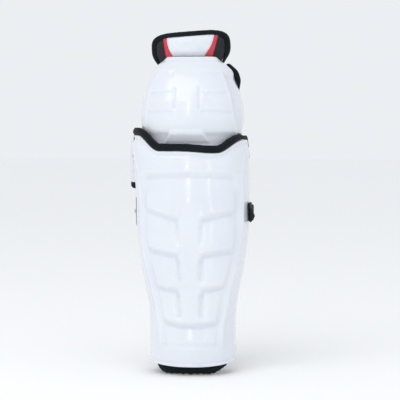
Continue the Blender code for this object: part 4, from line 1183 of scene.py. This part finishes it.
STRAP_HALF = STRAP_WIDTH / 2
STRAP_START_Y, STRAP_SLANT = 0.0060, 0.38
ANCHOR_Y, ANCHOR_LIFT, ANCHOR_OVER, ANCHOR_THICK = (-0.0130, 0.0115), 0.0013, 0.0010, 0.0009
HOOK_TAB_Y, HOOK_TAB_HALF, HOOK_TAB_THICK, HOOK_TAB_SLANT = (-0.0110, 0.0340), 0.0128, 0.0016, 0.42
PULL_TAB_Y, PULL_TAB_HALF, PULL_TAB_ROUND, PULL_TAB_NARROWING = (-0.0222, -0.0095), 0.0130, 0.0085, 0.62
PULL_TAB_FLARE, PULL_TAB_LOW_FLARE, PULL_TAB_GRIP = 0.0012, 0.0068, 0.00045
GRIP_ROWS = (-0.0190, -0.0163, -0.0136)
PATCH_Y, PATCH_LIFTS = (-0.0110, 0.0120), (0.0006, 0.0017)
BAND_THICK = 0.0012


def loop_xyz(u, z, lift, rear, ends, inset):
    half = along(SHELL, z)[..., 0] + lift
    x, y = u_outline(u, half - inset, -(rear - inset), -LOOP_BEND, -ends)
    return points(-x, -y, z)


def side_xyz(side, y, z, lift, inset, flare=0.0, share=1.0):
    """Points laid over one side of the shin shell, lift outside it."""
    rear = along(SHELL, z)[..., 3]
    x = shell_xyz(run_at(side, np.minimum(y, rear - 0.0001), z), z)[..., 0]
    return points(x + side * (lift - inset + flare * (1 - share) ** 2), y, z)


def make_calf_strap():
    """The elastic strap in one length, from its rivet on the left round the calf to the hook tab."""
    lift = STRAP_LIFT + STRAP_THICK
    columns, rows = 300, 30
    v = np.linspace(-1, 1, rows)[None, :]
    ribs = 0.00012 * np.cos(v * math.pi * 10)

    def face(inset):
        ahead = np.linspace(STRAP_START_Y, STRAP_FOLD, 40)[:-1, None] + 0 * v
        side = side_xyz(-1, ahead, STRAP_Z + (STRAP_HALF - 0.0008) * v + 0 * ahead, STRAP_CLOSE, inset)
        u = np.linspace(1, -1, columns)[:, None] + 0 * v
        taper = 1 - STRAP_TAPER * ease((-u - 0.20) / 0.35)
        slant = 1 - STRAP_SLANT * ease((-u - 0.40) / 0.30) * (v > 0)
        height = STRAP_Z + (STRAP_HALF - 0.0008) * v * taper * slant
        away = mix(STRAP_CLOSE, lift, ease((0.98 - u) / 0.25))
        round_back = loop_xyz(u, height, away, STRAP_REAR, STRAP_FOLD + 0.0002, inset)
        return np.concatenate([side, round_back])

    outer, inner = face(-ribs), face(STRAP_THICK * 0.75 + ribs)
    made = sheet("calf_strap_elastic", outer, inner, LOOKS["elastic"], rim=2)
    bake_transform(made)
    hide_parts("upper_strap_webbing")
    u, v = grid(60, 80)
    y = mix(*ANCHOR_Y, (u + 1) / 2)
    z = STRAP_Z + STRAP_HALF * v
    seam = 0.0003 * bell(np.maximum(np.abs(u) * 0.0122 - 0.0100, np.abs(v) * 0.0190 - 0.0168), 0.0007)
    lift = mix(ANCHOR_LIFT, STRAP_CLOSE + ANCHOR_OVER, ease(y / 0.006))
    outer = side_xyz(-1, y, z, lift, seam)
    inner = side_xyz(-1, y, z, lift - ANCHOR_THICK, 0.0)
    cover = sheet("calf_strap_anchor", outer, inner, LOOKS["white_vinyl"], rim=2)
    settle(cover, "shin_guard", "white_vinyl", "upper_strap_anchor")


def make_hook_tab():
    """The hook tab on the strap's end. Its tail is sewn onto the elastic, and it bends where it peels."""
    lift = STRAP_LIFT + STRAP_THICK
    u, v = grid(90, 36)
    share = (u + 1) / 2
    y = mix(*HOOK_TAB_Y, share)
    round_end = np.sqrt(np.clip(1 - np.clip((y - 0.0270) / 0.0072, 0, 1) ** 2 * 0.35, 0, 1))
    slant = 1 - HOOK_TAB_SLANT * ease((y + 0.0060) / 0.0160) * (v > 0)
    z = STRAP_Z + HOOK_TAB_HALF * v * round_end * slant
    fuzz = 0.00010 * wobble(y, z, 121, 0.003)
    ahead = side_xyz(1, np.minimum(y, STRAP_FOLD), z, lift, 0.0)
    proud = 0.0009 * ease((y - 0.0165) / 0.006)
    turn = -1 + (y - STRAP_FOLD) / (LOOP_BEND - STRAP_FOLD) * (1 - BEND)
    behind = loop_xyz(turn, z, lift, STRAP_REAR, STRAP_FOLD, 0.0)[..., 0]
    x = np.where(y < STRAP_FOLD, ahead[..., 0], np.maximum(behind, behind.max() - 0.0005)) + proud
    outer = points(x + fuzz, y, z)
    inner = outer - np.array([HOOK_TAB_THICK, 0, 0])
    made = sheet("calf_strap_hook_tab", outer, inner, LOOKS["hook_loop"], rim=2)
    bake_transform(made)
    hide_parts("strap_hook_tab")


def make_pull_tab():
    """The moulded pull tab in front of the hook tab, rounded and ribbed for grip."""
    lift = STRAP_LIFT + STRAP_THICK
    u, v = grid(70, 60)
    share = (u + 1) / 2
    y = mix(*PULL_TAB_Y, share)
    rounding = (1 - np.clip((y - PULL_TAB_Y[0]) / PULL_TAB_ROUND, 0, 1)) ** 2.6
    half = PULL_TAB_HALF * np.clip(1 - rounding * PULL_TAB_NARROWING, 0, 1)
    z = STRAP_Z + half * v
    low = ease((0.2330 - z) / 0.0180)
    flared = PULL_TAB_FLARE + PULL_TAB_LOW_FLARE * low
    flare = side_xyz(1, y, z, lift, 0.0, flared, np.clip((y + 0.0220) / 0.0106, 0, 1))
    grip = PULL_TAB_GRIP * sum(bell(y - row, 0.0008) for row in GRIP_ROWS)
    grip = grip * ease((1 - np.abs(v)) / 0.2)
    outer = flare + points(grip, 0 * y, 0 * y)
    inner = flare - points(np.full_like(y, STRAP_THICK), 0 * y, 0 * y)
    made = sheet("calf_strap_pull_tab", outer, inner, LOOKS["black_vinyl"], rim=3)
    settle(made, "strap_tab", "black_vinyl", "strap_pull_tab")


def make_loop_patch():
    u, v = grid(60, 80)
    y = mix(*PATCH_Y, (u + 1) / 2)
    z = STRAP_Z + PATCH_HALF * v
    fuzz = 0.00015 * wobble(y, z, 131, 0.0032)
    inner, outer = side_xyz(1, y, z, PATCH_LIFTS[0], 0.0), side_xyz(1, y, z, PATCH_LIFTS[1], fuzz)
    made = sheet("loop_patch", outer, inner, LOOKS["hook_loop"], rim=1)
    settle(made, "shin_guard", "hook_loop", "strap_loop_patch")


def make_ankle_band():
    columns, rows = 260, 26
    v = np.linspace(-1, 1, rows)[None, :]
    z = mix(*BAND_HEIGHTS, (v + 1) / 2)
    u = np.linspace(-1, 1, columns)[:, None]
    ribs = 0.00010 * np.cos(v * math.pi * 8)
    outer = loop_xyz(u + 0 * z, z + 0 * u, -HOOK_STRIP[0], BAND_REAR, BAND_ENDS, -ribs + 0 * u)
    inner = loop_xyz(u + 0 * z, z + 0 * u, -HOOK_STRIP[0], BAND_REAR, BAND_ENDS, BAND_THICK + ribs + 0 * u)
    made = sheet("ankle_band", outer, inner, LOOKS["elastic"], rim=2)
    settle(made, "shin_guard", "elastic", "lower_strap_webbing")


# ---------------------------------------------------------------- rivets


KNEE_HEAD, KNEE_PIN, SMALL_HEAD, SMALL_PIN = 0.0055, 0.0025, 0.0038, 0.0016
DOME_RISE, HEAD_THICK, STRAP_RIVET_SUNK = 0.0010, 0.0012, 0.0026
SPACER_HOLE, SPACER_RADIUS, SPACER_CHAMFER = 0.0030, 0.0055, 0.0003
WING_RIVET_WAY, STRAP_RIVET_WAY = (-1, 0.05, 0), (-1, -0.08, 0)


def turned(name, centre, direction, profile, look):
    """A piece turned round an axis, from (radius, height) points, closed where the radius is 0."""
    profile = np.array(profile)
    sides = 40
    turn = np.linspace(0, math.tau, sides, endpoint=False)
    direction = unit(np.asarray(direction, float))
    first = unit(np.cross(direction, [0.0, 0.0, 1.0] if abs(direction[2]) < 0.9 else [1.0, 0.0, 0.0]))
    second = np.cross(direction, first)
    ring = np.cos(turn)[:, None] * first + np.sin(turn)[:, None] * second
    verts = centre + profile[:, 1][:, None, None] * direction + profile[:, 0][:, None, None] * ring
    count = len(profile)
    number = np.arange(count * sides).reshape(count, sides)
    ahead = np.roll(number, -1, axis=1)
    faces = np.stack([number[:-1], number[1:], ahead[1:], ahead[:-1]], axis=-1).reshape(-1, 4)
    uvs = np.stack(np.broadcast_arrays(profile[:, 1][:, None], turn[None] * 0.005), axis=-1).reshape(-1, 2)
    return mesh_object(name, verts.reshape(-1, 3), faces, uvs, look)


def node_axis(name, direction):
    """The middle of a CAD node, and its half length along a direction."""
    low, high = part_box(name)
    middle = np.array((low + high) / 2)
    corners = np.array([v.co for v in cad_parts[name].data.vertices])
    reach = (corners - middle) @ direction
    return middle + direction * (reach.max() + reach.min()) / 2, (reach.max() - reach.min()) / 2


def make_rivet(name, node_name, direction, head, pin, body, sunk=0.0):
    """A rivet with a domed head at each end. sunk brings its outer head in onto what it holds."""
    direction = unit(np.array(direction, float))
    middle, half = node_axis(node_name, direction)
    middle, half = middle - direction * sunk / 2, half - sunk / 2
    angles = np.linspace(0, math.pi / 2 * 0.98, 9)
    dome = [(head * math.cos(a), DOME_RISE * math.sin(a)) for a in angles]
    under = half - HEAD_THICK
    profile = [(0.0001, -half)] + [(r, -half + DOME_RISE - rise) for r, rise in reversed(dome)]
    profile += [(head, -under), (pin, -under), (pin, under), (head, under)]
    profile += [(r, half - DOME_RISE + rise) for r, rise in dome] + [(0.0001, half)]
    made = turned(name, middle, direction, profile, LOOKS["rivet_steel"])
    settle(made, body, "rivet_steel", node_name)


def make_fasteners():
    for name, side in (("left", -1), ("right", 1)):
        make_rivet("knee_pivot_rivet_" + name, "knee_rivet_" + name, (side, 0, 0), KNEE_HEAD, KNEE_PIN, "shin_guard")
        middle, half = node_axis("knee_spacer_" + name, np.array([1.0, 0, 0]))
        rim, shoulder = SPACER_RADIUS - SPACER_CHAMFER, half - SPACER_CHAMFER
        ring = [(SPACER_HOLE, -half), (rim, -half), (SPACER_RADIUS, -shoulder), (SPACER_RADIUS, shoulder),
                (rim, half), (SPACER_HOLE, half), (SPACER_HOLE, -half)]
        made = turned("knee_pivot_spacer_" + name, middle, (1, 0, 0), ring, LOOKS["white_washer"])
        settle(made, "shin_guard", "white_washer", "knee_spacer_" + name)
    for name in ("lower", "upper"):
        make_rivet("wing_fixing_rivet_" + name, "wing_rivet_" + name, WING_RIVET_WAY, SMALL_HEAD, SMALL_PIN, "shin_guard")
    make_rivet("calf_strap_rivet", "strap_rivet", STRAP_RIVET_WAY, SMALL_HEAD, SMALL_PIN, "shin_guard",
               STRAP_RIVET_SUNK)


# ---------------------------------------------------------------- camera, floor and lights


CAMERA_PLACE, CAMERA_TARGET, LENS, SENSOR = (0.2011, -1.9881, 0.3413), (0.0097, 0, 0.2366), 130.4, 36.0
SKY_COLOR, SKY_STRENGTH = (0.94, 0.965, 1.0, 1), 0.89
FLOOR_REACH, FLOOR_TONES = 12.0, ((0.975, 0.975, 0.975), (0.985, 0.985, 0.985))

# Each soft light: its name, place, target, size, power and colour.
LIGHTS = (
    ("key", (-0.8, -1.6, 1.9), (0, 0, 0.25), (1.8, 1.8), 15, (1.0, 0.99, 0.97)),
    ("fill", (1.6, -1.2, 0.7), (0, 0, 0.25), (1.0, 1.4), 1.0, (0.93, 0.96, 1.0)),
    ("strip", (-0.18, -1.9, 0.40), (0, 0, 0.25), (0.02, 1.3), 1.1, (1, 1, 1)),
    ("strip_right", (0.75, -1.7, 0.45), (0, 0, 0.2), (0.03, 0.9), 0.6, (1, 1, 1)),
)


def add_area(name, place, target, size, power, color):
    data = bpy.data.lights.new(name, "AREA")
    data.shape = "RECTANGLE"
    data.size, data.size_y = size
    data.energy = power
    data.color = color
    made = bpy.data.objects.new(name, data)
    bpy.context.scene.collection.objects.link(made)
    made.location = place
    made.rotation_mode = "QUATERNION"
    made.rotation_quaternion = (Vector(target) - Vector(place)).to_track_quat("-Z", "Y")


def make_camera():
    data = bpy.data.cameras.new("camera")
    data.sensor_width = SENSOR
    data.lens = LENS
    camera = bpy.data.objects.new("camera", data)
    bpy.context.scene.collection.objects.link(camera)
    camera.location = CAMERA_PLACE
    camera.rotation_mode = "QUATERNION"
    camera.rotation_quaternion = (Vector(CAMERA_TARGET) - camera.location).to_track_quat("-Z", "Y")
    bpy.context.scene.camera = camera


def make_floor():
    mesh = bpy.data.meshes.new("floor")
    corners = [(x * FLOOR_REACH, y * FLOOR_REACH, 0) for x, y in ((-1, -1), (1, -1), (1, 1), (-1, 1))]
    mesh.from_pydata(corners, [], [(0, 1, 2, 3)])
    floor = bpy.data.objects.new("floor", mesh)
    bpy.context.scene.collection.objects.link(floor)
    made, tree, shader = start_material("pale_floor", 0.9)
    tone = blend_colors(tree, noise(tree, place(tree), 1.5, 2.0), *FLOOR_TONES)
    tree.links.new(tone, shader.inputs["Base Color"])
    mesh.materials.append(made)


def make_world():
    world = bpy.data.worlds.new("studio")
    bpy.context.scene.world = world
    world.use_nodes = True
    background = world.node_tree.nodes["Background"]
    background.inputs["Color"].default_value = SKY_COLOR
    background.inputs["Strength"].default_value = SKY_STRENGTH


def make_studio():
    make_world()
    make_floor()
    make_camera()
    for light in LIGHTS:
        add_area(*light)
    bpy.context.scene.view_settings.view_transform = "Standard"


make_shin_moulding()
make_knee_moulding()
make_edge_roll()
make_foot_cuff()
make_shin_liner()
make_calf_pads()
make_knee_liner()
make_knee_rolls()
make_hook_strips()
make_flap_face()
make_flap_back()
make_flap_binding()
make_flap_hinge()
make_calf_wing()
make_wing_binding()
make_wing_hinge()
make_calf_strap()
make_hook_tab()
make_pull_tab()
make_loop_patch()
make_ankle_band()
make_fasteners()
make_studio()
